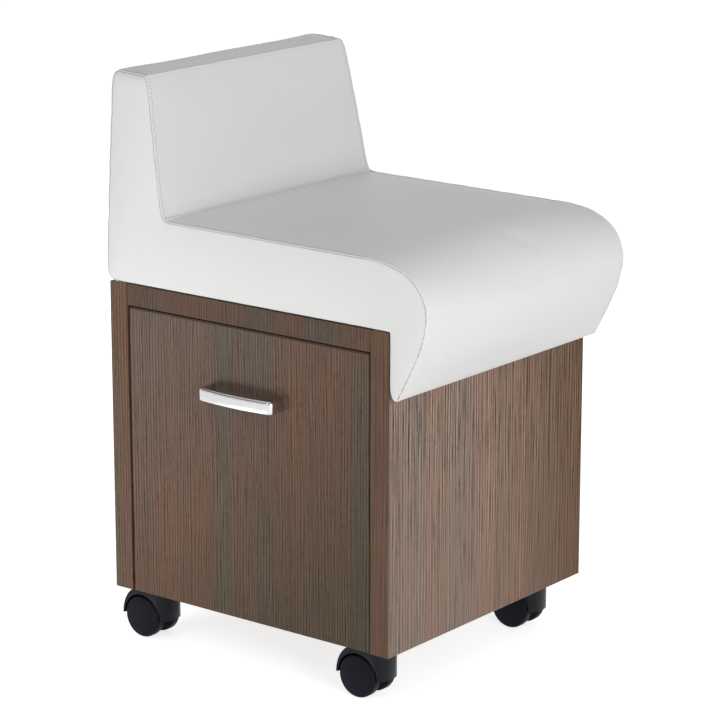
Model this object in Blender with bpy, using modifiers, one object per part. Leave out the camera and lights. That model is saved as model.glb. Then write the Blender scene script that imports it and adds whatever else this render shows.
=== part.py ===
"""Manicure stool: a padded vinyl seat with a low back on a rolling laminate cabinet with one deep drawer.

Metres, +Z up, floor at z = 0. The sitter faces -Y and the drawer pulls out to the sitter's right, towards -X.
The pieces are laid out round the middle of the cabinet, under an empty that puts the origin on the floor
below the middle of the whole stool.
"""

import math

import bmesh
import bpy
from mathutils import Matrix, Vector

# Fits, in metres
JOINT_GAP = 0.0003  # between pieces that touch

# Cabinet carcass
CABINET_WIDTH = 0.370  # along X, across the seat
CABINET_DEPTH = 0.400  # along Y, front to back
CABINET_HEIGHT = 0.366
PANEL_THICKNESS = 0.025

# Drawer
DRAWER_REVEAL = 0.0025  # gap between the drawer front and the carcass's uprights
DRAWER_TOP_REVEAL = 0.0040  # gap under the carcass's top
DRAWER_RECESS = 0.002  # drawer front behind the carcass edges
DRAWER_FRONT_THICKNESS = 0.018
DRAWER_WALL = 0.012
DRAWER_FLOOR_GAP = 0.008  # box above the cabinet bottom
DRAWER_HEADROOM = 0.060  # cabinet top above the box
DRAWER_REAR_GAP = 0.018  # box to the far side panel
DRAWER_BASE_THICKNESS = 0.006
DRAWER_BASE_RISE = 0.010  # underside of the base above the box's lower edge
GROOVE_DEPTH = 0.005
FRONT_SCREW_INSET = 0.040  # drawer front screws from the box's corners
FRONT_SCREW_BITE = 0.010  # drawer front screws into the drawer front

# Handle: a flat strap bowed outwards
HANDLE_CENTRES = 0.100
HANDLE_PROJECTION = 0.026
HANDLE_BOW = 0.0045
HANDLE_STRAP = 0.006  # strap thickness
HANDLE_HEIGHT = 0.0150
HANDLE_BEND = 0.006  # radius from leg to strap
HANDLE_DROP = 0.0755  # handle below the top of the drawer front
HANDLE_SCREW_BITE = 0.009  # screws into the handle's legs

# Screws
SCREW_SHANK = 0.0018  # radius
SCREW_HEAD = 0.0042  # radius
SCREW_HEAD_HEIGHT = 0.0026
SCREW_CLEARANCE = 0.0003  # hole over shank, on the radius
SEAT_SCREW_INSET = 0.065  # seat screws from the cabinet's sides
SEAT_SCREW_BITE = 0.009  # seat screws into the seat base board

# Ball-bearing drawer slides
SLIDE_SPACE = 0.0130  # carcass to drawer box
SLIDE_HEIGHT = 0.045
SLIDE_RISE = 0.100  # slide's middle above the box's lower edge
SLIDE_SHEET = 0.0012
SLIDE_FRONT_GAP = 0.003  # slide behind the drawer front
SLIDE_REAR_GAP = 0.022  # slide to the far side panel
OUTER_FLANGE = 0.0092  # depth of the cabinet rail's flanges
MIDDLE_STANDOFF = 0.0032  # middle rail's web from the carcass
MIDDLE_FLANGE = 0.0078
DRAWER_FLANGE = 0.0065
BALL_RADIUS = 0.0017
CAGE_SHEET = 0.0007
CAGE_LENGTH = 0.110
CAGE_BALLS = 3  # balls in each row
CAGE_END = 0.006  # last ball from the cage's end

# Casters
WHEEL_RADIUS = 0.025
WHEEL_WIDTH = 0.0145
WHEEL_DOME = 0.0016  # crown of the outer face
WHEEL_SHOULDER = 0.003  # roll of the tread into the outer face
WHEEL_CLEARANCE = 0.0006  # wheel to web, along the axle
AXLE_RADIUS = 0.003
AXLE_DEPTH = 0.010  # axle into each wheel
RUNNING_CLEARANCE = 0.0003  # on the radius of a turning pin
HOOD_WEB = 0.014  # wall between the two wheels
FENDER_CLEARANCE = 0.0018
FENDER_THICKNESS = 0.0025
FENDER_SETBACK = 0.0025  # fender edge behind the wheel's outer face
HOOD_ROOF = 0.0065  # solid roof over the fender
HOOD_CORNER = 0.005
HOUSING_RADIUS = 0.015  # stem housing ahead of the king pin
HOUSING_NOSE = 0.012  # depth of the rounded front
HOUSING_FLOOR = 0.0235  # lower front edge above the floor
AXLE_BOSS = 0.007
CASTER_TRAIL = 0.019  # king pin to axle
KING_PIN_RADIUS = 0.004
KING_PIN_LENGTH = 0.022
SWIVEL_GAP = 0.0007
PLATE_SIDE = 0.036
PLATE_THICKNESS = 0.0025
PLATE_CORNER = 0.005
CASTER_INSET_X = 0.0395  # king pins from the cabinet's sides
CASTER_INSET_Y = 0.040  # king pins from the cabinet's front and back

# Seat, measured from the cabinet's top and faces
SEAT_SIDE_PROUD = 0.003
SEAT_RISE = 0.079  # seat at the foot of the back
SEAT_FALL = 0.0012  # from there to the nose
SEAT_CROWN = 0.008
SEAT_HOLLOW = 0.050  # hollow between seat and back, along the seat
BACK_HOLLOW = 0.022  # and up the back
SIDE_BULGE = 0.002
BACK_RISE = 0.2437
BACK_TOP_FALL = 0.0045  # top of the back, rear to front
BACK_TOP_DEPTH = 0.0547
BACK_FOOT_DEPTH = 0.0885
BACK_TAPER = 0.0107  # each side of the back, foot to top
BACK_CROWN = 0.004
REAR_PROUD = 0.005
REAR_LEAN = 0.0046  # rear of the back, foot to top
REAR_FOOT = 0.018  # roll of the rear under the seat
NOSE_ROLL = 0.030  # start of the roll, behind the cabinet's front
NOSE_FULL = 0.91  # share of the roll's reach that stays level
NOSE_TURN = 0.15  # share of the reach that drops upright at the nose
NOSE_REACH = 0.052
NOSE_LEVEL = 0.0245  # foremost point above the cabinet's top
NOSE_DROP = 0.072
NOSE_SLANT = 0.021  # lean of the flap over its last stretch
NOSE_SLANT_RISE = 0.036
FLAP_GAP = 0.002  # flap to the cabinet's front panel
FLAP_EDGE = 0.008  # thickness of the flap's lower edge
SEAT_EDGE_ROUND = 0.012  # largest edge radius of the padding
COVER_THICKNESS = 0.0012
COVER_LAP = 0.038  # cover turned under the seat
BOARD_THICKNESS = 0.012
NOSE_BOARD_THICKNESS = 0.010
BOARD_INSET = 0.014  # boards from the padding's sides
BACK_BOARD_PAD = 0.010  # padding behind the back board's top
BACK_BOARD_DROP = 0.028  # back board below the top of the back
NOSE_BOARD_RISE = 0.027  # nose board above the flap's lower edge
GUSSET_LEG = 0.045
GUSSET_THICKNESS = 0.012
GUSSET_SPAN = 0.220  # between the two gussets

# Facets
TURNED_STEPS = 24
SCREW_STEPS = 12
POCKET_STEPS = 32

# Levels and places that several pieces share
WHEEL_TOP = 2 * WHEEL_RADIUS
HOOD_TOP = WHEEL_TOP + FENDER_CLEARANCE + FENDER_THICKNESS + HOOD_ROOF
PLATE_BOTTOM = HOOD_TOP + SWIVEL_GAP
CABINET_BOTTOM = PLATE_BOTTOM + PLATE_THICKNESS + JOINT_GAP
CABINET_TOP = CABINET_BOTTOM + CABINET_HEIGHT
HALF_WIDTH = CABINET_WIDTH / 2
HALF_DEPTH = CABINET_DEPTH / 2
INNER_HALF_DEPTH = HALF_DEPTH - PANEL_THICKNESS
FAR_SIDE = HALF_WIDTH - PANEL_THICKNESS  # inner face of the far side panel
FRONT_FACE = -HALF_WIDTH + DRAWER_RECESS
FRONT_BACK = FRONT_FACE + DRAWER_FRONT_THICKNESS
BOX_FRONT = FRONT_BACK + JOINT_GAP
BOX_REAR = FAR_SIDE - DRAWER_REAR_GAP
BOX_HALF = INNER_HALF_DEPTH - SLIDE_SPACE
BOX_INNER_HALF = BOX_HALF - DRAWER_WALL
BOX_LOW = CABINET_BOTTOM + PANEL_THICKNESS + DRAWER_FLOOR_GAP
BOX_HIGH = CABINET_TOP - PANEL_THICKNESS - DRAWER_HEADROOM
FRONT_HIGH = CABINET_TOP - PANEL_THICKNESS - DRAWER_TOP_REVEAL
HANDLE_LEVEL = FRONT_HIGH - HANDLE_DROP
SEAT_HALF = HALF_WIDTH + SEAT_SIDE_PROUD
SEAT_BOTTOM = CABINET_TOP + JOINT_GAP
BOARD_HALF = SEAT_HALF - BOARD_INSET
LINING = COVER_THICKNESS + JOINT_GAP  # padding and boards inside the cover's outer face
FLAP_REAR = -(HALF_DEPTH + FLAP_GAP)
REAR_FACE = HALF_DEPTH + REAR_PROUD
BACK_BOARD_REAR = REAR_FACE - max(REAR_LEAN + LINING + BACK_BOARD_PAD, REAR_FOOT)
BACK_BOARD_FRONT = BACK_BOARD_REAR - BOARD_THICKNESS
BASE_LOW = SEAT_BOTTOM + LINING
BASE_HIGH = BASE_LOW + BOARD_THICKNESS
FENDER_RADIUS = WHEEL_RADIUS + FENDER_CLEARANCE + FENDER_THICKNESS
WHEEL_INNER = HOOD_WEB / 2 + WHEEL_CLEARANCE
HOOD_HALF = WHEEL_INNER + WHEEL_WIDTH - FENDER_SETBACK

PARTS = bpy.data.collections.new("manicure_stool")
CUTTERS = bpy.data.collections.new("manicure_stool_cutters")


def finish(name, colour, roughness, metallic=0.0):
    """A Principled material."""
    material = bpy.data.materials.new(name)
    material.use_nodes = True
    shader = material.node_tree.nodes["Principled BSDF"]
    shader.inputs["Base Color"].default_value = (*colour, 1.0)
    shader.inputs["Roughness"].default_value = roughness
    shader.inputs["Metallic"].default_value = metallic
    material.diffuse_color = (*colour, 1.0)
    return material


def put(name, data, parent, location=(0, 0, 0), rotation=(0, 0, 0), material=None):
    """A named piece. Without a material it is a cutter."""
    piece = bpy.data.objects.new(name, data)
    piece.parent = parent
    piece.location = location
    piece.rotation_euler = rotation
    if material:
        PARTS.objects.link(piece)
        data.materials.clear()
        data.materials.append(material)
    else:
        CUTTERS.objects.link(piece)
        piece.hide_render = True
        piece.display_type = "WIRE"
    return piece


def empty(name, parent, location=(0, 0, 0)):
    """A frame that carries other pieces."""
    holder = bpy.data.objects.new(name, None)
    PARTS.objects.link(holder)
    holder.parent = parent
    holder.location = location
    holder.empty_display_size = 0.02
    return holder


def mesh_of(bm, name):
    """The finished bmesh as a mesh."""
    mesh = bpy.data.meshes.new(name)
    bm.to_mesh(mesh)
    bm.free()
    return mesh


def box(name, low, high, parent, material=None):
    """A board between two corners, with its origin in its middle."""
    low, high = Vector(low), Vector(high)
    bm = bmesh.new()
    bmesh.ops.create_cube(bm, size=1.0)
    bmesh.ops.scale(bm, vec=high - low, verts=bm.verts)
    return put(name, mesh_of(bm, name), parent, (low + high) / 2, material=material)


def cylinder_mesh(name, radius, length, steps):
    """A closed cylinder along Z."""
    bm = bmesh.new()
    bmesh.ops.create_cone(bm, cap_ends=True, segments=steps, radius1=radius, radius2=radius, depth=length)
    return mesh_of(bm, name)


def bar_x(name, radius, start, end, y, z, steps, parent, material=None):
    """A round bar along X between two places."""
    mesh = cylinder_mesh(name, radius, end - start, steps)
    return put(name, mesh, parent, ((start + end) / 2, y, z), (0, math.pi / 2, 0), material)


def bar_z(name, radius, low, high, x, y, steps, parent, material=None):
    """An upright round bar between two levels."""
    mesh = cylinder_mesh(name, radius, high - low, steps)
    return put(name, mesh, parent, (x, y, (low + high) / 2), material=material)


def turned(name, profile, steps, parent, location, rotation, material):
    """A turned piece about its local Z, from (radius, height) points that run from the top to the bottom."""
    bm = bmesh.new()
    points = [bm.verts.new((radius, 0, height)) for radius, height in profile]
    for first, second in zip(points, points[1:]):
        bm.edges.new((first, second))
    piece = put(name, mesh_of(bm, name), parent, location, rotation, material)
    turn = piece.modifiers.new("turn", "SCREW")
    turn.steps = turn.render_steps = steps
    turn.use_merge_vertices = True
    turn.merge_threshold = 0.00001
    return piece


def outline(name, points, thickness):
    """A flat outline in local XY as a 2D curve, thickened along Z."""
    curve = bpy.data.curves.new(name, "CURVE")
    curve.dimensions = "2D"
    curve.fill_mode = "BOTH"
    curve.extrude = thickness / 2
    spline = curve.splines.new("POLY")
    spline.points.add(len(points) - 1)
    for place, (x, y) in zip(spline.points, points):
        place.co = (x, y, 0, 1)
    spline.use_cyclic_u = True
    return curve


def solid_of(piece):
    """The evaluated shape of a piece as one closed mesh. The piece itself is removed."""
    bpy.context.view_layer.update()
    graph = bpy.context.evaluated_depsgraph_get()
    mesh = bpy.data.meshes.new_from_object(piece.evaluated_get(graph))
    mesh.name = piece.name
    bm = bmesh.new()
    bm.from_mesh(mesh)
    bmesh.ops.remove_doubles(bm, verts=bm.verts, dist=0.000002)
    bmesh.ops.recalc_face_normals(bm, faces=bm.faces)
    bm.to_mesh(mesh)
    bm.free()
    bpy.data.objects.remove(piece, do_unlink=True)
    return mesh


def cross_section(name, points, length, parent, location, material=None):
    """A section in the YZ plane drawn out along X, as a closed mesh."""
    mesh = solid_of(put(name + "_section", outline(name, points, length), None))
    return put(name, mesh, parent, location, (math.pi / 2, 0, math.pi / 2), material)


def cut(piece, *cutters, operation="DIFFERENCE"):
    """Cut a piece by others, or join or keep what they share."""
    for cutter in cutters:
        boolean = piece.modifiers.new(cutter.name, "BOOLEAN")
        boolean.operation = operation
        boolean.object = cutter


def smooth(piece, angle=40):
    """Round faces shaded smooth, with the sharp edges kept."""
    piece.data.shade_smooth()
    piece.data.set_sharp_from_angle(angle=math.radians(angle))


def arc(centre, radius_x, radius_y, start, end, count):
    """Points on an elliptical arc, both ends included, angles in degrees."""
    turns = [math.radians(start + (end - start) * i / count) for i in range(count + 1)]
    return [(centre[0] + radius_x * math.cos(t), centre[1] + radius_y * math.sin(t)) for t in turns]


def bezier(a, b, c, d, count):
    """Points after the first on a cubic curve."""
    found = []
    for i in range(1, count + 1):
        t = i / count
        u = 1 - t
        weights = (u ** 3, 3 * u * u * t, 3 * u * t * t, t ** 3)
        found.append(tuple(sum(w * p[k] for w, p in zip(weights, (a, b, c, d))) for k in (0, 1)))
    return found


def straight(a, b, count):
    """Points after the first on a straight line."""
    return [(a[0] + (b[0] - a[0]) * i / count, a[1] + (b[1] - a[1]) * i / count) for i in range(1, count + 1)]


def inwards(points, distance):
    """A chain of (y, z) points moved to its right by a distance, with mitred corners."""
    moved = []
    for i, here in enumerate(points):
        before = Vector(points[max(i - 1, 0)])
        after = Vector(points[min(i + 1, len(points) - 1)])
        here = Vector(here)
        legs = [leg.normalized() for leg in (here - before, after - here) if leg.length > 0]
        sides = [Vector((leg.y, -leg.x)) for leg in legs]
        middle = sum(sides, Vector((0, 0))).normalized()
        moved.append(here + middle * (distance / middle.dot(sides[0])))
    return moved


# Seat form
# The padding is a ribbon with an upper chain of points, from the top of the back down to the flap's lower edge,
# and a lower chain of as many points behind and under it.
BACK_ROWS, JUNCTION_ROWS, SEAT_ROWS, ROLL_ROWS, FLAP_ROWS = 5, 3, 5, 7, 5
THICKNESS_ROWS = 3


def seat_chains():
    """The upper and lower chains of the seat's side profile, in (y, z) from the cabinet's top."""
    top_rear = (REAR_FACE - REAR_LEAN, BACK_RISE)
    top_front = (top_rear[0] - BACK_TOP_DEPTH, BACK_RISE - BACK_TOP_FALL)
    foot = (REAR_FACE - BACK_FOOT_DEPTH, SEAT_RISE)
    roll = (-HALF_DEPTH + NOSE_ROLL, SEAT_RISE - SEAT_FALL)
    nose = (-HALF_DEPTH - NOSE_REACH, NOSE_LEVEL)
    tip = (FLAP_REAR - FLAP_EDGE, -NOSE_DROP)
    above = Vector(top_front) - Vector(foot)
    above = tuple(Vector(foot) + above.normalized() * BACK_HOLLOW)
    ahead = Vector(roll) - Vector(foot)
    ahead = tuple(Vector(foot) + ahead.normalized() * SEAT_HOLLOW)
    upper = [top_front] + straight(top_front, above, BACK_ROWS)
    upper += bezier(above, foot, foot, ahead, JUNCTION_ROWS)
    upper += straight(ahead, roll, SEAT_ROWS)
    reach = roll[0] - nose[0]
    level, drop = (roll[0] - reach * NOSE_FULL, roll[1]), (nose[0], nose[1] + reach * NOSE_TURN)
    upper += bezier(roll, level, drop, nose, ROLL_ROWS)
    fall = nose[1] - tip[1]
    slant = (tip[0] - NOSE_SLANT, tip[1] + NOSE_SLANT_RISE)
    upper += bezier(nose, (nose[0], nose[1] - fall / 3), slant, tip, FLAP_ROWS)

    rear_foot = (REAR_FACE, REAR_FOOT)
    under = (REAR_FACE - REAR_FOOT, 0.0)
    lower = [top_rear] + straight(top_rear, rear_foot, BACK_ROWS)
    lower += bezier(rear_foot, (REAR_FACE, REAR_FOOT / 4), (REAR_FACE - REAR_FOOT / 4, 0), under, JUNCTION_ROWS)
    lower += straight(under, (roll[0], 0.0), SEAT_ROWS)
    lower += straight((roll[0], 0.0), (FLAP_REAR, 0.0), ROLL_ROWS)
    lower += straight((FLAP_REAR, 0.0), (FLAP_REAR, -NOSE_DROP), FLAP_ROWS)
    return upper, lower


def seat_form(name, inset):
    """The padding's outer form, or one that lies inside it by a distance, as a rounded closed mesh."""
    upper, lower = seat_chains()
    rows = len(upper) - 1
    panel_rows = rows - BACK_ROWS - 2
    upper_in = inwards(upper, -inset)
    lower_in = inwards(lower, inset)
    top_drop = Vector((0, -inset))
    upper_in[0] += top_drop
    lower_in[0] += top_drop
    upper_in[-1] -= top_drop
    lower_in[-1] -= top_drop
    half = SEAT_HALF - inset
    across = [half, SEAT_HALF - COVER_LAP, (SEAT_HALF - COVER_LAP) / 2, 0.0]
    across += [-x for x in reversed(across[:-1])]

    bm = bmesh.new()
    bmesh.ops.create_cube(bm, size=1.0)
    for axis, count in ((0, len(across) - 1), (1, rows), (2, THICKNESS_ROWS)):
        for i in range(1, count):
            plane = Vector((0, 0, 0))
            plane[axis] = i / count - 0.5
            normal = Vector((0, 0, 0))
            normal[axis] = 1
            everything = bm.verts[:] + bm.edges[:] + bm.faces[:]
            bmesh.ops.bisect_plane(bm, geom=everything, dist=0.00001, plane_co=plane, plane_no=normal)
    round_edges = bm.edges.layers.float.new("bevel_weight_edge")
    place = {}
    for vert in bm.verts:
        column = round((vert.co.x + 0.5) * (len(across) - 1))
        row = round((vert.co.y + 0.5) * rows)
        depth = round((0.5 - vert.co.z) * THICKNESS_ROWS)
        place[vert] = (column, row, depth)
    for edge in bm.edges:
        ends = [place[vert] for vert in edge.verts]
        on_side = all(p[0] in (0, len(across) - 1) for p in ends)
        on_end = all(p[1] in (0, rows) for p in ends)
        on_face = all(p[2] in (0, THICKNESS_ROWS) for p in ends)
        if on_side + on_end + on_face < 2:
            continue
        row = max(p[1] for p in ends)
        depth = max(p[2] for p in ends)
        edge[round_edges] = edge_share(row, depth, rows, on_side)
    for vert in bm.verts:
        column, row, depth = place[vert]
        share = depth / THICKNESS_ROWS
        x = across[column]
        flat = 1 - (x / half) ** 4
        point = upper_in[row] * (1 - share) + lower_in[row] * share
        if depth == 0 and row < BACK_ROWS + 2:
            swell = BACK_CROWN * math.sin(math.pi * row / (BACK_ROWS + 2))
            point += outwards(upper, row) * swell * flat
        elif depth == 0:
            swell = SEAT_CROWN * math.sqrt(max(math.sin(math.pi * (row - BACK_ROWS - 2) / panel_rows), 0.0))
            point += outwards(upper, row) * swell * flat
        elif depth < THICKNESS_ROWS and column in (0, len(across) - 1):
            x += math.copysign(SIDE_BULGE * math.sin(math.pi * share) * side_share(row, rows), x)
        x *= 1 - BACK_TAPER / half * max(0.0, 1 - row / (BACK_ROWS + JUNCTION_ROWS / 2))
        vert.co = (x, point.x, point.y)
    bmesh.ops.recalc_face_normals(bm, faces=bm.faces)
    form = put(name + "_form", mesh_of(bm, name), None)
    rounding = form.modifiers.new("rounding", "BEVEL")
    rounding.limit_method = "WEIGHT"
    rounding.width = SEAT_EDGE_ROUND - inset
    rounding.segments = 2
    return solid_of(form)


def outwards(chain, row):
    """The outward direction of the upper chain at a row."""
    before = Vector(chain[max(row - 1, 0)])
    after = Vector(chain[min(row + 1, len(chain) - 1)])
    along = (after - before).normalized()
    return Vector((-along.y, along.x)) * -1


def side_share(row, rows):
    """How much of the side bulge a row has: all of it, but none at the flap's lower edge."""
    return min(1.0, (rows - row) / FLAP_ROWS)


def edge_share(row, depth, rows, on_side):
    """The share of the largest edge radius that an edge has."""
    if row == rows or row > rows - 2:
        return 0.12
    if row == 0 and not on_side:
        return 1.0 if depth else 0.35
    if depth and row > BACK_ROWS + JUNCTION_ROWS:
        return 0.25
    return 0.5 if row > rows - FLAP_ROWS else 0.6


def screw(name, length, parent, location, rotation, material):
    """A pan-head screw with its head above local z = 0 and its shank below."""
    profile = [
        (0, SCREW_HEAD_HEIGHT),
        (SCREW_HEAD / 2, SCREW_HEAD_HEIGHT),
        (SCREW_HEAD, SCREW_HEAD_HEIGHT / 3),
        (SCREW_HEAD, 0),
        (SCREW_SHANK, 0),
        (SCREW_SHANK, -length),
        (0, -length),
    ]
    return turned(name, profile, SCREW_STEPS, parent, location, rotation, material)


def cabinet(root, laminate):
    """Five panels. The edges of the front, top and back panels frame the drawer."""
    low, high = CABINET_BOTTOM, CABINET_TOP
    inner = INNER_HALF_DEPTH
    box("front_panel", (-HALF_WIDTH, -HALF_DEPTH, low), (HALF_WIDTH, -inner, high), root, laminate)
    box("back_panel", (-HALF_WIDTH, inner, low), (HALF_WIDTH, HALF_DEPTH, high), root, laminate)
    between = inner - JOINT_GAP
    ceiling = high - PANEL_THICKNESS
    top = box("top_panel", (-HALF_WIDTH, -between, ceiling), (HALF_WIDTH, between, high), root, laminate)
    box("side_panel", (FAR_SIDE, -between, low), (HALF_WIDTH, between, ceiling - JOINT_GAP), root, laminate)
    shelf_start = FRONT_BACK + DRAWER_REVEAL
    shelf_high = low + PANEL_THICKNESS
    box("bottom_panel", (shelf_start, -between, low), (FAR_SIDE - JOINT_GAP, between, shelf_high), root, laminate)
    return top


def seat_cover(root, material):
    """The vinyl skin: the padding's outer form, open under the seat, with the thickness of the vinyl."""
    mesh = seat_form("seat_cover", 0.0)
    bm = bmesh.new()
    bm.from_mesh(mesh)
    side = SEAT_HALF - COVER_LAP + JOINT_GAP
    start = -HALF_DEPTH + NOSE_ROLL - JOINT_GAP
    under = []
    for face in bm.faces:
        flat = all(abs(vert.co.z) < JOINT_GAP for vert in face.verts)
        inside = all(abs(vert.co.x) < side and vert.co.y > start for vert in face.verts)
        if flat and inside:
            under.append(face)
    bmesh.ops.delete(bm, geom=under, context="FACES")
    bm.to_mesh(mesh)
    bm.free()
    cover = put("seat_cover", mesh, root, (0, 0, SEAT_BOTTOM), material=material)
    smooth(cover)
    skin = cover.modifiers.new("vinyl", "SOLIDIFY")
    skin.thickness = COVER_THICKNESS
    skin.offset = -1
    skin.use_even_offset = True
    return cover


def gusset_section(grow):
    """A triangle in the corner of the base board and the back board, in (y, z), grown by a gap."""
    y, z = BACK_BOARD_FRONT - JOINT_GAP + grow, BASE_HIGH + JOINT_GAP - grow
    leg = GUSSET_LEG + grow * 4
    return [(y, z), (y, z + leg), (y - leg, z)]


def seat(root, top_panel, vinyl, foam, plywood, steel):
    """The cover, the foam inside it and the boards that the foam is built on."""
    seat_cover(root, vinyl)
    padding = put("seat_foam", seat_form("seat_foam", LINING), root, (0, 0, SEAT_BOTTOM), material=foam)
    smooth(padding)
    nose_rear = FLAP_REAR - LINING
    nose_low = SEAT_BOTTOM - NOSE_DROP + NOSE_BOARD_RISE
    back_high = SEAT_BOTTOM + BACK_RISE - BACK_BOARD_DROP
    boards = {
        "seat_base_board": ((nose_rear + JOINT_GAP, BACK_BOARD_REAR), (BASE_LOW, BASE_HIGH)),
        "backrest_board": ((BACK_BOARD_FRONT, BACK_BOARD_REAR), (BASE_HIGH + JOINT_GAP, back_high)),
        "nose_board": ((nose_rear - NOSE_BOARD_THICKNESS, nose_rear), (nose_low, BASE_HIGH)),
    }
    gap = JOINT_GAP
    made = {}
    for name, ((front, rear), (low, high)) in boards.items():
        half = BOARD_HALF - BACK_TAPER if name == "backrest_board" else BOARD_HALF
        made[name] = box(name, (-half, front, low), (half, rear, high), root, plywood)
        open_low = LINING * 2 if name == "seat_base_board" else gap
        open_rear = LINING * 2 if name == "nose_board" else gap
        low_corner = (-half - gap, front - gap, low - open_low)
        high_corner = (half + gap, rear + open_rear, high + gap)
        cut(padding, box(name + "_pocket", low_corner, high_corner, root))
    for side, word in ((-1, "right"), (1, "left")):
        name = "backrest_gusset_" + word
        place = (side * GUSSET_SPAN / 2, 0, 0)
        cross_section(name, gusset_section(0), GUSSET_THICKNESS, root, place, plywood)
        pocket = cross_section(name + "_pocket", gusset_section(gap), GUSSET_THICKNESS + 2 * gap, root, place)
        cut(padding, pocket)
    number = 0
    for x in (-HALF_WIDTH + SEAT_SCREW_INSET, HALF_WIDTH - SEAT_SCREW_INSET):
        for y in (-HALF_DEPTH + SEAT_SCREW_INSET, HALF_DEPTH - SEAT_SCREW_INSET):
            number += 1
            face = CABINET_TOP - PANEL_THICKNESS - JOINT_GAP
            length = BASE_LOW + SEAT_SCREW_BITE - face
            hole = bar_z(
                f"seat_screw_{number}_hole",
                SCREW_SHANK + SCREW_CLEARANCE,
                face - SCREW_HEAD,
                face + length + JOINT_GAP,
                x,
                y,
                SCREW_STEPS,
                root,
            )
            cut(top_panel, hole)
            cut(made["seat_base_board"], hole)
            screw(f"seat_screw_{number}", length, root, (x, y, face), (math.pi, 0, 0), steel)


def handle(drawer, chrome):
    """A strap bowed outwards between two legs, drawn on its centre line in plan."""
    reach = HANDLE_CENTRES / 2
    middle = HANDLE_PROJECTION - HANDLE_STRAP / 2
    radius = (reach ** 2 + HANDLE_BOW ** 2) / (2 * HANDLE_BOW)

    def bowed(y):
        return -(middle - radius + math.sqrt(radius ** 2 - y ** 2))

    start = (-JOINT_GAP, -reach)
    bend = (bowed(reach) + HANDLE_BEND, -reach)
    strap = (bowed(reach - HANDLE_BEND), -reach + HANDLE_BEND)
    path = [start] + [bend] + bezier(bend, (bowed(reach), -reach), (bowed(reach), -reach), strap, 5)
    steps = 6
    half_bow = [strap[1] * (1 - i / steps) for i in range(1, steps + 1)]
    path += [(bowed(y), y) for y in half_bow]
    path += [(x, -y) for x, y in reversed(path[:-1])]
    curve = bpy.data.curves.new("drawer_handle", "CURVE")
    curve.dimensions = "3D"
    curve.twist_mode = "Z_UP"
    curve.extrude = (HANDLE_HEIGHT - HANDLE_STRAP) / 2
    curve.bevel_depth = HANDLE_STRAP / 2
    curve.bevel_resolution = 2
    curve.use_fill_caps = True
    spline = curve.splines.new("POLY")
    spline.points.add(len(path) - 1)
    for place, (x, y) in zip(spline.points, path):
        place.co = (x, y, 0, 1)
    mesh = solid_of(put("handle_path", curve, None))
    grip = put("drawer_handle", mesh, drawer, (FRONT_FACE, 0, HANDLE_LEVEL), material=chrome)
    smooth(grip)
    return grip


def drawer(root, laminate, melamine, chrome, steel):
    """The drawer front, the box behind it, the handle and the screws."""
    slide = empty("drawer_travel", root)
    inner = BOX_INNER_HALF
    reveal = INNER_HALF_DEPTH - DRAWER_REVEAL
    low, high = BOX_LOW, BOX_HIGH
    sub_back = BOX_FRONT + DRAWER_WALL
    rear_start = BOX_REAR - DRAWER_WALL
    gap = JOINT_GAP
    front = box("drawer_front", (FRONT_FACE, -reveal, CABINET_BOTTOM), (FRONT_BACK, reveal, FRONT_HIGH), slide, laminate)
    walls = [
        box("drawer_sub_front", (BOX_FRONT, -inner + gap, low), (sub_back, inner - gap, high), slide, melamine),
        box("drawer_back", (rear_start, -inner + gap, low), (BOX_REAR, inner - gap, high), slide, melamine),
        box("drawer_side_front", (BOX_FRONT, -BOX_HALF, low), (BOX_REAR, -inner, high), slide, melamine),
        box("drawer_side_rear", (BOX_FRONT, inner, low), (BOX_REAR, BOX_HALF, high), slide, melamine),
    ]
    base_low = low + DRAWER_BASE_RISE
    base_high = base_low + DRAWER_BASE_THICKNESS
    tongue = GROOVE_DEPTH - gap
    groove_start = Vector((sub_back - GROOVE_DEPTH, -inner - GROOVE_DEPTH, base_low - gap))
    groove_end = Vector((rear_start + GROOVE_DEPTH, inner + GROOVE_DEPTH, base_high + gap))
    groove = box("drawer_base_groove", groove_start, groove_end, slide)
    for wall in walls:
        cut(wall, groove)
    base_start = (sub_back - tongue, -inner - tongue, base_low)
    base_end = (rear_start + tongue, inner + tongue, base_high)
    box("drawer_base", base_start, base_end, slide, melamine)

    grip = handle(slide, chrome)
    hole = SCREW_SHANK + SCREW_CLEARANCE
    seat_face = sub_back + gap
    inwards_turn = (0, math.pi / 2, 0)
    for number, y in ((1, -HANDLE_CENTRES / 2), (2, HANDLE_CENTRES / 2)):
        end = FRONT_FACE - gap - HANDLE_SCREW_BITE
        name = f"handle_screw_{number}"
        bore = bar_x(name + "_hole", hole, end - gap, seat_face + SCREW_HEAD, y, HANDLE_LEVEL, SCREW_STEPS, slide)
        cut(front, bore)
        cut(walls[0], bore)
        cut(grip, bore)
        screw(name, seat_face - end, slide, (seat_face, y, HANDLE_LEVEL), inwards_turn, steel)
    number = 0
    for y in (-inner + FRONT_SCREW_INSET, inner - FRONT_SCREW_INSET):
        for z in (low + FRONT_SCREW_INSET, high - FRONT_SCREW_INSET):
            number += 1
            name = f"drawer_front_screw_{number}"
            end = FRONT_BACK - FRONT_SCREW_BITE
            bore = bar_x(name + "_hole", hole, end - gap, seat_face + SCREW_HEAD, y, z, SCREW_STEPS, slide)
            cut(front, bore)
            cut(walls[0], bore)
            screw(name, seat_face - end, slide, (seat_face, y, z), inwards_turn, steel)


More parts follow.
